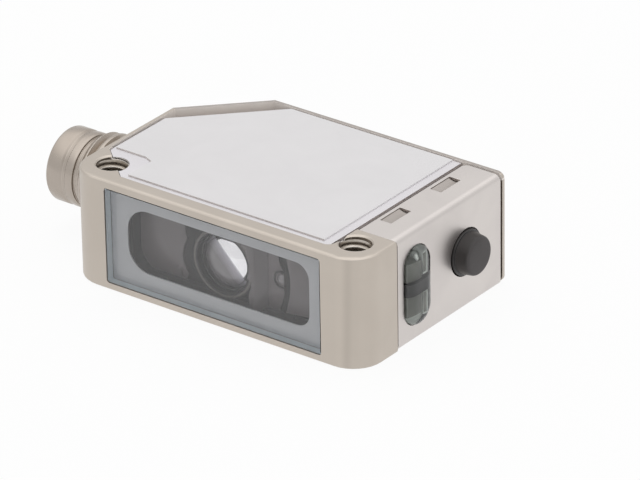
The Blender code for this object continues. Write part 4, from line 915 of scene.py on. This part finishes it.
def make_plug():
    tip, nose, bore = PLUG_TIP, NOSE_RADIUS, NOSE_BORE
    latch_left, latch_right = LATCH_X - LATCH_HALF, LATCH_X + LATCH_HALF
    neck_left, neck_right = NECK_X - NECK_HALF, NECK_X + NECK_HALF
    profile = [(SHELL_STEP, bore), (tip + 0.25, bore), (tip + 0.06, bore + 0.06)]
    profile += [(tip, bore + 0.22)]
    profile += rounded(tip, nose, NOSE_ROUND, 5, 1)
    profile += [
        (latch_left - 0.03, nose), (latch_left + 0.03, nose - 0.03),
        (latch_left + 0.22, LATCH_FLOOR + 0.04), (latch_left + 0.28, LATCH_FLOOR),
        (latch_right - 0.2, LATCH_FLOOR), (latch_right - 0.05, nose - 0.06),
        (latch_right + 0.04, nose), (neck_left - 0.4, nose), (neck_left - 0.16, nose - 0.04),
        (neck_left - 0.04, nose - 0.12), (neck_left + 0.03, NECK_RADIUS),
        (neck_right - 0.02, NECK_RADIUS), (neck_right, THREAD_ROOT - 0.1),
        (neck_right + 0.1, THREAD_ROOT), (THREAD_END, THREAD_ROOT),
        (THREAD_END + 0.03, SPIGOT_RADIUS), (SPIGOT_END, SPIGOT_RADIUS),
        (SPIGOT_END, bore - 0.4), (SHELL_STEP, bore - 0.4), (SHELL_STEP, bore),
    ]
    shell = turned_solid("plug_shell", profile, PLUG_AXIS, ALONG, PLUG_SIDES, THREAD_ANGLE)
    dress(shell, NICKEL_TURNED, "satin_nickel", "connector_shell")

    crest, root, half = THREAD_CREST, THREAD_ROOT - 0.06, THREAD_PITCH / 2
    section = [
        (0.06, root), (half - 0.24, crest - 0.05), (half - 0.13, crest),
        (half + 0.13, crest), (half + 0.24, crest - 0.05), (THREAD_PITCH - 0.06, root),
    ]
    turns = int((THREAD_END - THREAD_START) / THREAD_PITCH) + 1
    thread = thread_ridge(
        "plug_thread", section, PLUG_AXIS + Vector((THREAD_START * MM - 0.0005, 0, 0)),
        ALONG, THREAD_PITCH, turns, THREAD_STEPS,
    )
    start, end = (THREAD_START - 0.1) * MM, THREAD_END * MM
    for point in thread.data.vertices:
        point.co.x = min(max(point.co.x, start), end)
        out = point.co - PLUG_AXIS
        out.x = 0.0
        run_in = THREAD_RUN_IN * (point.co.x - start)
        run_out = THREAD_RUN_OUT * (end - point.co.x)
        limit = root * MM + min(run_in, run_out)
        if out.length > limit:
            near = PLUG_AXIS + out.normalized() * limit
            point.co.y, point.co.z = near.y, near.z
    smooth(thread, THREAD_ANGLE)
    dress(thread, NICKEL_TURNED, "satin_nickel")


def make_hole_threads():
    half = HOLE_PITCH / 2
    section = [
        (0.03, HOLE_RADIUS + 0.08), (half - 0.06, HOLE_CREST),
        (half + 0.06, HOLE_CREST), (HOLE_PITCH - 0.03, HOLE_RADIUS + 0.08),
    ]
    base = HOLE_NEAR + Vector((0, 0, HOLE_THREAD_LOW * MM))
    near = thread_ridge(
        "hole_thread_near", section, base, UP, HOLE_PITCH, HOLE_THREAD_TURNS, HOLE_STEPS
    )
    for point in near.data.vertices:
        point.co.z = min(point.co.z, HOLE_THREAD_END * MM)
        fade = (point.co.z / MM - HOLE_THREAD_FADE) / (HOLE_THREAD_END - HOLE_THREAD_FADE)
        out = point.co - HOLE_NEAR
        out.z = 0.0
        least = (HOLE_CREST + (HOLE_RADIUS - HOLE_CREST + 0.03) * min(max(fade, 0.0), 1.0)) * MM
        if out.length < least:
            outer = HOLE_NEAR + out.normalized() * least
            point.co.x, point.co.y = outer.x, outer.y
    smooth(near, THREAD_ANGLE)
    far = placed("hole_thread_far", near.data.copy())
    far.location = HOLE_FAR - HOLE_NEAR
    place_into_mesh(far)
    dress(near, NICKEL_THREAD, "satin_nickel")
    dress(far, NICKEL_THREAD, "satin_nickel")


# Window and what stands behind it

def lens_finish():
    """The large lens, painted: the grey view of the splitter's back and a pale reflection along
    its edge.
    """
    material, tree, shader = new_material("large_lens", srgb(150, 148, 150))
    place = add(tree, "TexCoord", {}, "Object")
    offset = vector(tree, "SUBTRACT", place, LENS_SPLIT_POINT)
    across = vector(tree, "DOT_PRODUCT", offset, LENS_SPLIT_FACING, out="Value")
    split = mapped(tree, across, LENS_SPLIT, interpolation_type="SMOOTHSTEP")
    height = add(tree, "SeparateXYZ", {"Vector": place}, "Z")
    # Painted shade: the grey side darker towards the bottom
    shade = mapped(tree, height, LENS_SHADE, interpolation_type="SMOOTHSTEP")
    grey = mixed(tree, shade, srgb(105, 101, 104), srgb(119, 114, 117))
    # Painted glow: the grey side paler beside the split
    lit = mixed(tree, mapped(tree, across, LENS_GLOW), grey, srgb(206, 202, 214))
    # Painted pale reflection beyond the split
    pale = mixed(tree, split, lit, srgb(245, 244, 247))
    spoke = vector(tree, "SUBTRACT", place, LENS_AXIS)
    flat = vector(tree, "MULTIPLY", spoke, (1.0, 0.0, 1.0))
    reach = vector(tree, "LENGTH", flat, out="Value")
    # A painted dark ring in the reflection near the rim
    ring = calculated(tree, "COMPARE", reach, LENS_PAINTED_RING_RADIUS, LENS_PAINTED_RING_HALF)
    painted_dark_ring = calculated(tree, "MULTIPLY", ring, LENS_PAINTED_RING_SHARE)
    cloud = grouped(tree, clouding, {"Scale": 320.0, "Contrast": 1.0})
    feed(tree, shader, {
        "Base Color": mixed(tree, painted_dark_ring, pale, srgb(92, 90, 94)),
        "Roughness": grouped(
            tree, gloss_drift, {"Roughness": 0.06, "Spread": 0.03, "Cloud": cloud}
        ),
        "Metallic": calculated(tree, "MULTIPLY", split, 0.85),
        "Coat Weight": 0.6, "Coat Roughness": 0.03,
    })
    return material


def make_large_lens():
    """A plano-convex lens drawn from its back face over its ground edge to the crown."""
    ball = (LENS_RADIUS * LENS_RADIUS + LENS_CROWN * LENS_CROWN) / (2 * LENS_CROWN)
    reach = math.asin(LENS_RADIUS / ball)
    back = LENS_RIM_Y + LENS_EDGE
    profile = [(back, LENS_RADIUS - 0.12), (back - 0.12, LENS_RADIUS), (LENS_RIM_Y, LENS_RADIUS)]
    for index in range(1, LENS_RINGS):
        turn = reach * (1 - index / LENS_RINGS)
        height = ball * math.cos(turn) - (ball - LENS_CROWN)
        profile.append((LENS_RIM_Y - height, ball * math.sin(turn)))
    lens = turned_solid("large_lens", profile, LENS_AXIS)
    dress(lens, lens_finish(), "lens_glass", "main_lens")


def make_barrel():
    """The ring that locks the lens, the barrel's rolled front edge and the small lens's seat."""
    ring = turned_solid("lens_lock_ring", LOCK_RING, LENS_AXIS)
    dress(ring, BARREL_MOULD, "black_plastic", "lens_ring")

    inner, outer = BARREL_RIM_SPAN
    profile = [(BARREL_RIM_BACK, inner)]
    for index in range(BARREL_RIM_STEPS + 1):
        turn = math.pi * index / BARREL_RIM_STEPS
        profile.append((
            BARREL_RIM_FRONT - BARREL_RIM_RISE * math.sin(turn),
            BARREL_RIM_RADIUS - BARREL_RIM_HALF * math.cos(turn),
        ))
    profile += [(BARREL_RIM_BACK, outer), (BARREL_RIM_BACK, inner)]
    rim = turned_solid("barrel_front_rim", profile, LENS_AXIS, angle=50)
    # The rim's paler moulding is a painted highlight
    dress(rim, RIM_PAINTED_HIGHLIGHT_MOULD, "black_plastic")

    low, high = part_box("monitor_lens")
    axis = Vector(((low.x + high.x) / 2, 0.0, (low.z + high.z) / 2))
    seat = turned_solid("monitor_lens_seat", MONITOR_SEAT, axis, sides=MONITOR_SIDES)
    dress(seat, BARREL_MOULD, "black_plastic")


def flat_plate(name, outline, back_y, front_y, mould):
    """A thin plate that stands against the window side, cut to an outline of (x, z) in mm."""
    piece = drawn_line(name, [(x, back_y, z) for x, z in outline])
    edit(piece)
    bpy.ops.mesh.edge_face_add()
    bpy.ops.mesh.extrude_region_move(
        TRANSFORM_OT_translate={"value": (0.0, (front_y - back_y) * MM, 0.0)}
    )
    select_all()
    bpy.ops.mesh.normals_make_consistent(inside=False)
    leave_edit()
    soften(piece, 0.04 * MM, 50)
    smooth(piece, CLEAR_ANGLE)
    dress(piece, mould, "black_plastic")
    return piece


def make_inner_panels():
    """Raised fields of the moulding behind the window, and the slope from the lens to them."""
    flat_plate("left_inner_panel", LEFT_PANEL, PANEL_BACK, PANEL_FRONT, PANEL_MOULD)
    flat_plate("middle_inner_panel", MIDDLE_PANEL, PANEL_BACK, PANEL_FRONT, MIDDLE_MOULD_PAINTED_LIGHT)
    flat_plate("right_inner_panel", RIB_PANEL, PANEL_BACK, RIB_PANEL_FRONT, PANEL_MOULD)
    sides = (LENS_PANEL_BACK, LENS_PANEL_FRONT, LENS_SIDE_MOULD_PAINTED_SHADE)
    flat_plate("lens_side_panel", LENS_PANEL, *sides)
    slope = flat_plate("lens_side_slope", LENS_SLOPE, *sides)
    foot = LENS_SLOPE[1][0] * MM - 0.3 * MM
    slide(slope, lambda co: co.x > foot, (0.0, (PANEL_FRONT - LENS_PANEL_FRONT) * MM, 0.0))


def widen(piece, margin):
    """Moves the outer edges of a flat piece outwards by a margin."""
    xs = [point.co.x for point in piece.data.vertices]
    zs = [point.co.z for point in piece.data.vertices]
    for axis, value, step in (
        (0, min(xs), (-margin, 0.0, 0.0)),
        (0, max(xs), (margin, 0.0, 0.0)),
        (2, min(zs), (0.0, 0.0, -margin)),
        (2, max(zs), (0.0, 0.0, margin)),
    ):
        slide(piece, lambda co: abs(co[axis] - value) < 0.25 * MM, step)


def open_gap(piece):
    """Draws the right and upper sides in a little: the dark joint between pane and frame."""
    side = max(point.co.x for point in piece.data.vertices) - 0.02 * MM
    top = max(point.co.z for point in piece.data.vertices) - 0.02 * MM
    slide(piece, lambda co: co.x > side, (-PANE_GAP, 0.0, 0.0))
    slide(piece, lambda co: co.z > top, (0.0, 0.0, -PANE_GAP))


def make_window():
    glass = copied_solid("front_glass", "window_pane")
    widen(glass, PANE_MARGIN)
    open_gap(glass)
    dress_solid(glass, [PANE_GLASS, GROUND_EDGE], "window_glass", "front_glass")
    for face in glass.data.polygons:
        face.material_index = 0 if abs(face.normal.y) > 0.7 else 1

    mask = copied_solid("window_mask", "window_border")
    pane_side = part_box("front_glass")[1].x + PANE_MARGIN
    widen(mask, pane_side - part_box("window_mask")[1].x - 0.02 * MM)
    open_gap(mask)
    dress_solid(mask, BORDER_PRINT, "window_mask", "window_mask")

    carrier = copied_solid("optics_carrier", "optics_moulding")
    dress_solid(carrier, BLACK_MOULD, "black_plastic", "optics_carrier")

    make_barrel()
    make_inner_panels()
    make_large_lens()


# Indicator window

def shrunk_copy(piece, name, pivot, scale):
    """A copy drawn together about a point."""
    inner = placed(name, piece.data.copy())
    edit(inner)
    bpy.ops.transform.resize(value=scale, center_override=pivot)
    leave_edit()
    return inner


def guide_block(name, across, up, sunk):
    """A small block behind the smoked window, with a sunk face where it carries light."""
    (left, right), (bottom, top) = across, up
    deselect_all()
    bpy.ops.mesh.primitive_cube_add(
        size=2 * MM,
        location=(
            (GUIDE_FACE + GUIDE_BACK) / 2 * MM,
            (PIPE_Y + (left + right) / 2) * MM,
            (PIPE_Z + (bottom + top) / 2) * MM,
        ),
        scale=((GUIDE_FACE - GUIDE_BACK) / 2, (right - left) / 2, (top - bottom) / 2),
    )
    guide = drawn(name)
    place_into_mesh(guide)
    if sunk:
        select_where(guide, lambda co: co.x > GUIDE_FACE * MM - NEAR)
        bpy.ops.mesh.inset(thickness=0.15 * MM)
        bpy.ops.transform.translate(value=(-sunk * MM, 0.0, 0.0))
        leave_edit()
    soften(guide, 0.05 * MM)
    smooth(guide, TURNED_ANGLE)
    dress(guide, [GUIDE_CLEAR, GUIDE_CARD] if sunk else GUIDE_CARD, "smoked_plastic")
    for face in guide.data.polygons:
        inside = face.normal.x > LEVEL and face.center.x < (GUIDE_FACE - sunk / 2) * MM
        face.material_index = 1 if inside and sunk else 0


def fill_window(pipe):
    """What is seen inside the smoked window: card, black band, blocks, pale frames, painted
    highlight.
    """
    back = Vector((PIPE_BACK * MM, PIPE_Y * MM, PIPE_Z * MM))
    card = shrunk_copy(pipe, "window_back_card", back + Vector((0.05 * MM, 0, 0)), CARD_SCALE)
    smooth(card, CLEAR_ANGLE)
    dress(card, BACK_CARD, "smoked_plastic")

    band = shrunk_copy(pipe, "indicator_band", back + Vector((0.3 * MM, 0, 0)), BAND_SCALE)
    for side in (1, -1):
        edit(band)
        bpy.ops.mesh.bisect(
            plane_co=(0.0, PIPE_Y * MM, (PIPE_Z + side * BAND_HALF) * MM),
            plane_no=(0.0, 0.0, side), use_fill=True, clear_outer=True,
        )
        leave_edit()
    soften(band, 0.06 * MM, 50)
    smooth(band, TURNED_ANGLE)
    dress(band, BAND_PLASTIC, "black_plastic", "light_pipe_divider")

    # A pale dome near the top: a painted highlight in the smoked window
    deselect_all()
    bpy.ops.mesh.primitive_uv_sphere_add(
        segments=24, ring_count=12, radius=HIGHLIGHT_SPOT_RADIUS * MM, location=HIGHLIGHT_SPOT_PLACE * MM,
        scale=HIGHLIGHT_SPOT_SCALE,
    )
    spot = drawn("window_painted_highlight")
    place_into_mesh(spot)
    smooth(spot, 60)
    dress(spot, GUIDE_CLEAR, "smoked_plastic")

    for block in GUIDE_BLOCKS:
        guide_block(*block)


def make_indicator_window():
    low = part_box("light_pipe")[0]
    half_straight = PIPE_HALF_LENGTH - PIPE_HALF_WIDTH
    centre = Vector((low.x, PIPE_Y * MM, PIPE_Z * MM))
    deselect_all()
    bpy.ops.mesh.primitive_circle_add(
        vertices=PIPE_SIDES, radius=PIPE_HALF_WIDTH * MM, fill_type="NOTHING",
        location=centre, rotation=(0.0, QUARTER, 0.0),
    )
    pipe = drawn("indicator_window")
    place_into_mesh(pipe)
    edit(pipe)
    bpy.ops.transform.rotate(
        value=math.pi / PIPE_SIDES, orient_axis="X", center_override=centre
    )
    for side in (1, -1):
        select_where(pipe, lambda co: (co.z - centre.z) * side > 0)
        bpy.ops.transform.translate(value=(0.0, 0.0, side * half_straight * MM))
    back = PIPE_BACK * MM
    select_all()
    bpy.ops.transform.translate(value=(back - low.x, 0.0, 0.0))
    rings = []
    for index in range(PIPE_ROUND_STEPS + 1):
        turn = QUARTER * index / PIPE_ROUND_STEPS
        rings.append((
            PIPE_FACE - PIPE_RISE * (1 - math.sin(turn)), PIPE_ROUND * (1 - math.cos(turn))
        ))
    last_x, last_inset = back / MM, 0.0
    for place, inset in rings:
        select_where(pipe, lambda co: co.x > last_x * MM - NEAR)
        bpy.ops.mesh.extrude_region_move(
            TRANSFORM_OT_translate={"value": ((place - last_x) * MM, 0.0, 0.0)}
        )
        scale = (PIPE_HALF_WIDTH - inset) / (PIPE_HALF_WIDTH - last_inset)
        for side in (1, -1):
            select_where(
                pipe, lambda co: co.x > place * MM - NEAR and (co.z - centre.z) * side > 0
            )
            bpy.ops.transform.resize(
                value=(1.0, scale, scale),
                center_override=(place * MM, centre.y, centre.z + side * half_straight * MM),
            )
        last_x, last_inset = place, inset
    leave_edit()
    close_ends(pipe)
    smooth(pipe, CLEAR_ANGLE)
    dress(pipe, SMOKED_CLEAR, "smoked_plastic", "light_pipe")
    fill_window(pipe)


# Button

def make_button():
    profile = [(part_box("button_cap")[0].x / MM, 1.1), *BUTTON_FLANGE, (25.85, COLLAR_RADIUS)]
    profile += [(COLLAR_FACE - 0.12, COLLAR_RADIUS), (COLLAR_FACE - 0.03, COLLAR_RADIUS - 0.04)]
    profile += [(COLLAR_FACE, COLLAR_RADIUS - 0.12), (COLLAR_FACE, BUTTON_RADIUS + 0.03)]
    profile += [(COLLAR_FACE + 0.03, BUTTON_RADIUS)]
    profile += reversed(rounded(BUTTON_FACE, BUTTON_TOP_RADIUS, BUTTON_ROUND, 8, -1))
    profile += [(BUTTON_FACE, 1.6), (BUTTON_FACE, 0.6)]
    cap = turned_solid("push_button", profile, BUTTON_AXIS, ALONG, BUTTON_SIDES, CLEAR_ANGLE)
    # The cap's side takes the darker rubber: partly painted shade
    finishes = [BUTTON_RUBBER, COLLAR_RUBBER, CAP_SIDE_RUBBER_PAINTED_SHADE]
    dress(cap, finishes, "black_rubber", "button_cap", body="button")
    for face in cap.data.polygons:
        if face.center.x < (COLLAR_FACE + 0.02) * MM:
            face.material_index = 1
        elif abs(face.normal.x) < 0.6:
            face.material_index = 2


# Finishes of the solids that keep their own shape

KEPT_SOLIDS = (
    (BLACK_MOULD, "aperture_plate", "board_link", "end_wall", "connector_insert"),
    (BOARD_GREEN, "emitter_board", "main_board", "end_board", "connector_board"),
    (CHIP_BLACK, "receiver_diode", "processor_chip", "driver_chip", "tact_switch"),
    (COLLAR_RUBBER, "switch_plunger"),
    (FLEX_AMBER, "flex_strip"),
    (GOLD_PLATE, "contact_pin_1", "contact_pin_2", "contact_pin_3", "contact_pin_4"),
    (LED_WHITE, "emitter_led", "indicator_led_upper", "indicator_led_lower"),
    (LENS_CLEAR, "emitter_lens"),
    (MIRROR_FILM, "beam_splitter"),
    (MONITOR_GLASS, "monitor_lens"),
    (NICKEL_BRASS, "connector_nut"),
    (SEAL_BLACK, "window_gasket", "connector_seal"),
)


def finish_kept_solids():
    for material, *names in KEPT_SOLIDS:
        for name in names:
            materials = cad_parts[name].data.materials
            materials.clear()
            materials.append(material)


# Floor, light and camera

def seen_share(tree):
    """1 for rays that the camera, a polished face or clear glass sends out, 0 for the rest."""
    path = outputs_of(tree, "LightPath", {})
    first = calculated(tree, "MAXIMUM", path["Is Camera Ray"], path["Is Glossy Ray"])
    return calculated(tree, "MAXIMUM", first, path["Is Transmission Ray"])


def make_floor():
    deselect_all()
    bpy.ops.mesh.primitive_plane_add(size=2.4, location=(0.0, 0.0, 0.0))
    floor = drawn("pale_floor")
    material, tree, shader = new_material("pale_floor_card")
    feeds = {"Base Color": FLOOR_TONE, "Roughness": 0.8, "Specular IOR Level": 0.1}
    feed(tree, shader, feeds)
    glow = add(tree, "Emission", {"Color": WHITE, "Strength": 1.0})
    share = calculated(tree, "MULTIPLY", seen_share(tree), FLOOR_GLOW)
    blend = add(tree, "MixShader", {"Fac": share, 1: shader.outputs["BSDF"], 2: glow})
    feed(tree, tree.nodes["Material Output"], {"Surface": blend})
    floor.data.materials.append(material)


def make_world():
    world = bpy.data.worlds.new("studio")
    bpy.context.scene.world = world
    world.use_nodes = True
    tree = world.node_tree
    fall = tree.nodes["Background"]
    feed(tree, fall, {"Color": WHITE, "Strength": SKY_LIGHT})
    place = add(tree, "TexCoord", {}, "Generated")
    height = add(tree, "SeparateXYZ", {"Vector": place}, "Z")
    rise = mapped(tree, height, SKY_RISE, (SKY_LOW, SKY_HIGH))
    camera = add(tree, "LightPath", {}, "Is Camera Ray")
    strength = calculated(tree, "MAXIMUM", rise, camera)
    seen = add(tree, "Background", {"Color": WHITE, "Strength": strength})
    feeds = {"Fac": seen_share(tree), 1: fall.outputs["Background"], 2: seen}
    blend = add(tree, "MixShader", feeds)
    feed(tree, tree.nodes["World Output"], {"Surface": blend})


def make_lamps():
    """Soft boxes that point at the sensor and that no polished or clear face shows."""
    for name, place, size, power in LAMPS:
        lamp = bpy.data.lights.new(name, "AREA")
        lamp.shape = "RECTANGLE"
        lamp.size, lamp.size_y = size
        lamp.energy = power
        holder = placed(name, lamp)
        holder.location = place
        holder.rotation_euler = (-Vector(place)).to_track_quat("-Z", "Y").to_euler()
        holder.visible_glossy = holder.visible_transmission = False


def make_camera():
    azimuth, height, roll = CAMERA_AZIMUTH, CAMERA_HEIGHT, CAMERA_ROLL
    back = Vector((
        math.sin(azimuth) * math.cos(height),
        -math.cos(azimuth) * math.cos(height),
        math.sin(height),
    ))
    level = Vector((math.cos(azimuth), math.sin(azimuth), 0.0))
    upright = back.cross(level)
    right = math.cos(roll) * level + math.sin(roll) * upright
    up = -math.sin(roll) * level + math.cos(roll) * upright
    lens = bpy.data.cameras.new("photo_camera")
    lens.sensor_width = CAMERA_SENSOR
    lens.lens = CAMERA_LENS
    lens.shift_x, lens.shift_y = CAMERA_SHIFT
    lens.clip_start, lens.clip_end = CAMERA_CLIP
    camera = placed("photo_camera", lens)
    turn = Matrix((right, up, back)).transposed().to_4x4()
    camera.matrix_world = Matrix.Translation(CAMERA_AIM + back * CAMERA_DISTANCE) @ turn
    bpy.context.scene.camera = camera


finish_metalwork()
make_plug()
make_hole_threads()
make_window()
make_indicator_window()
make_button()
finish_kept_solids()
make_floor()
make_world()
make_lamps()
make_camera()
bpy.context.scene.view_settings.view_transform = "Standard"
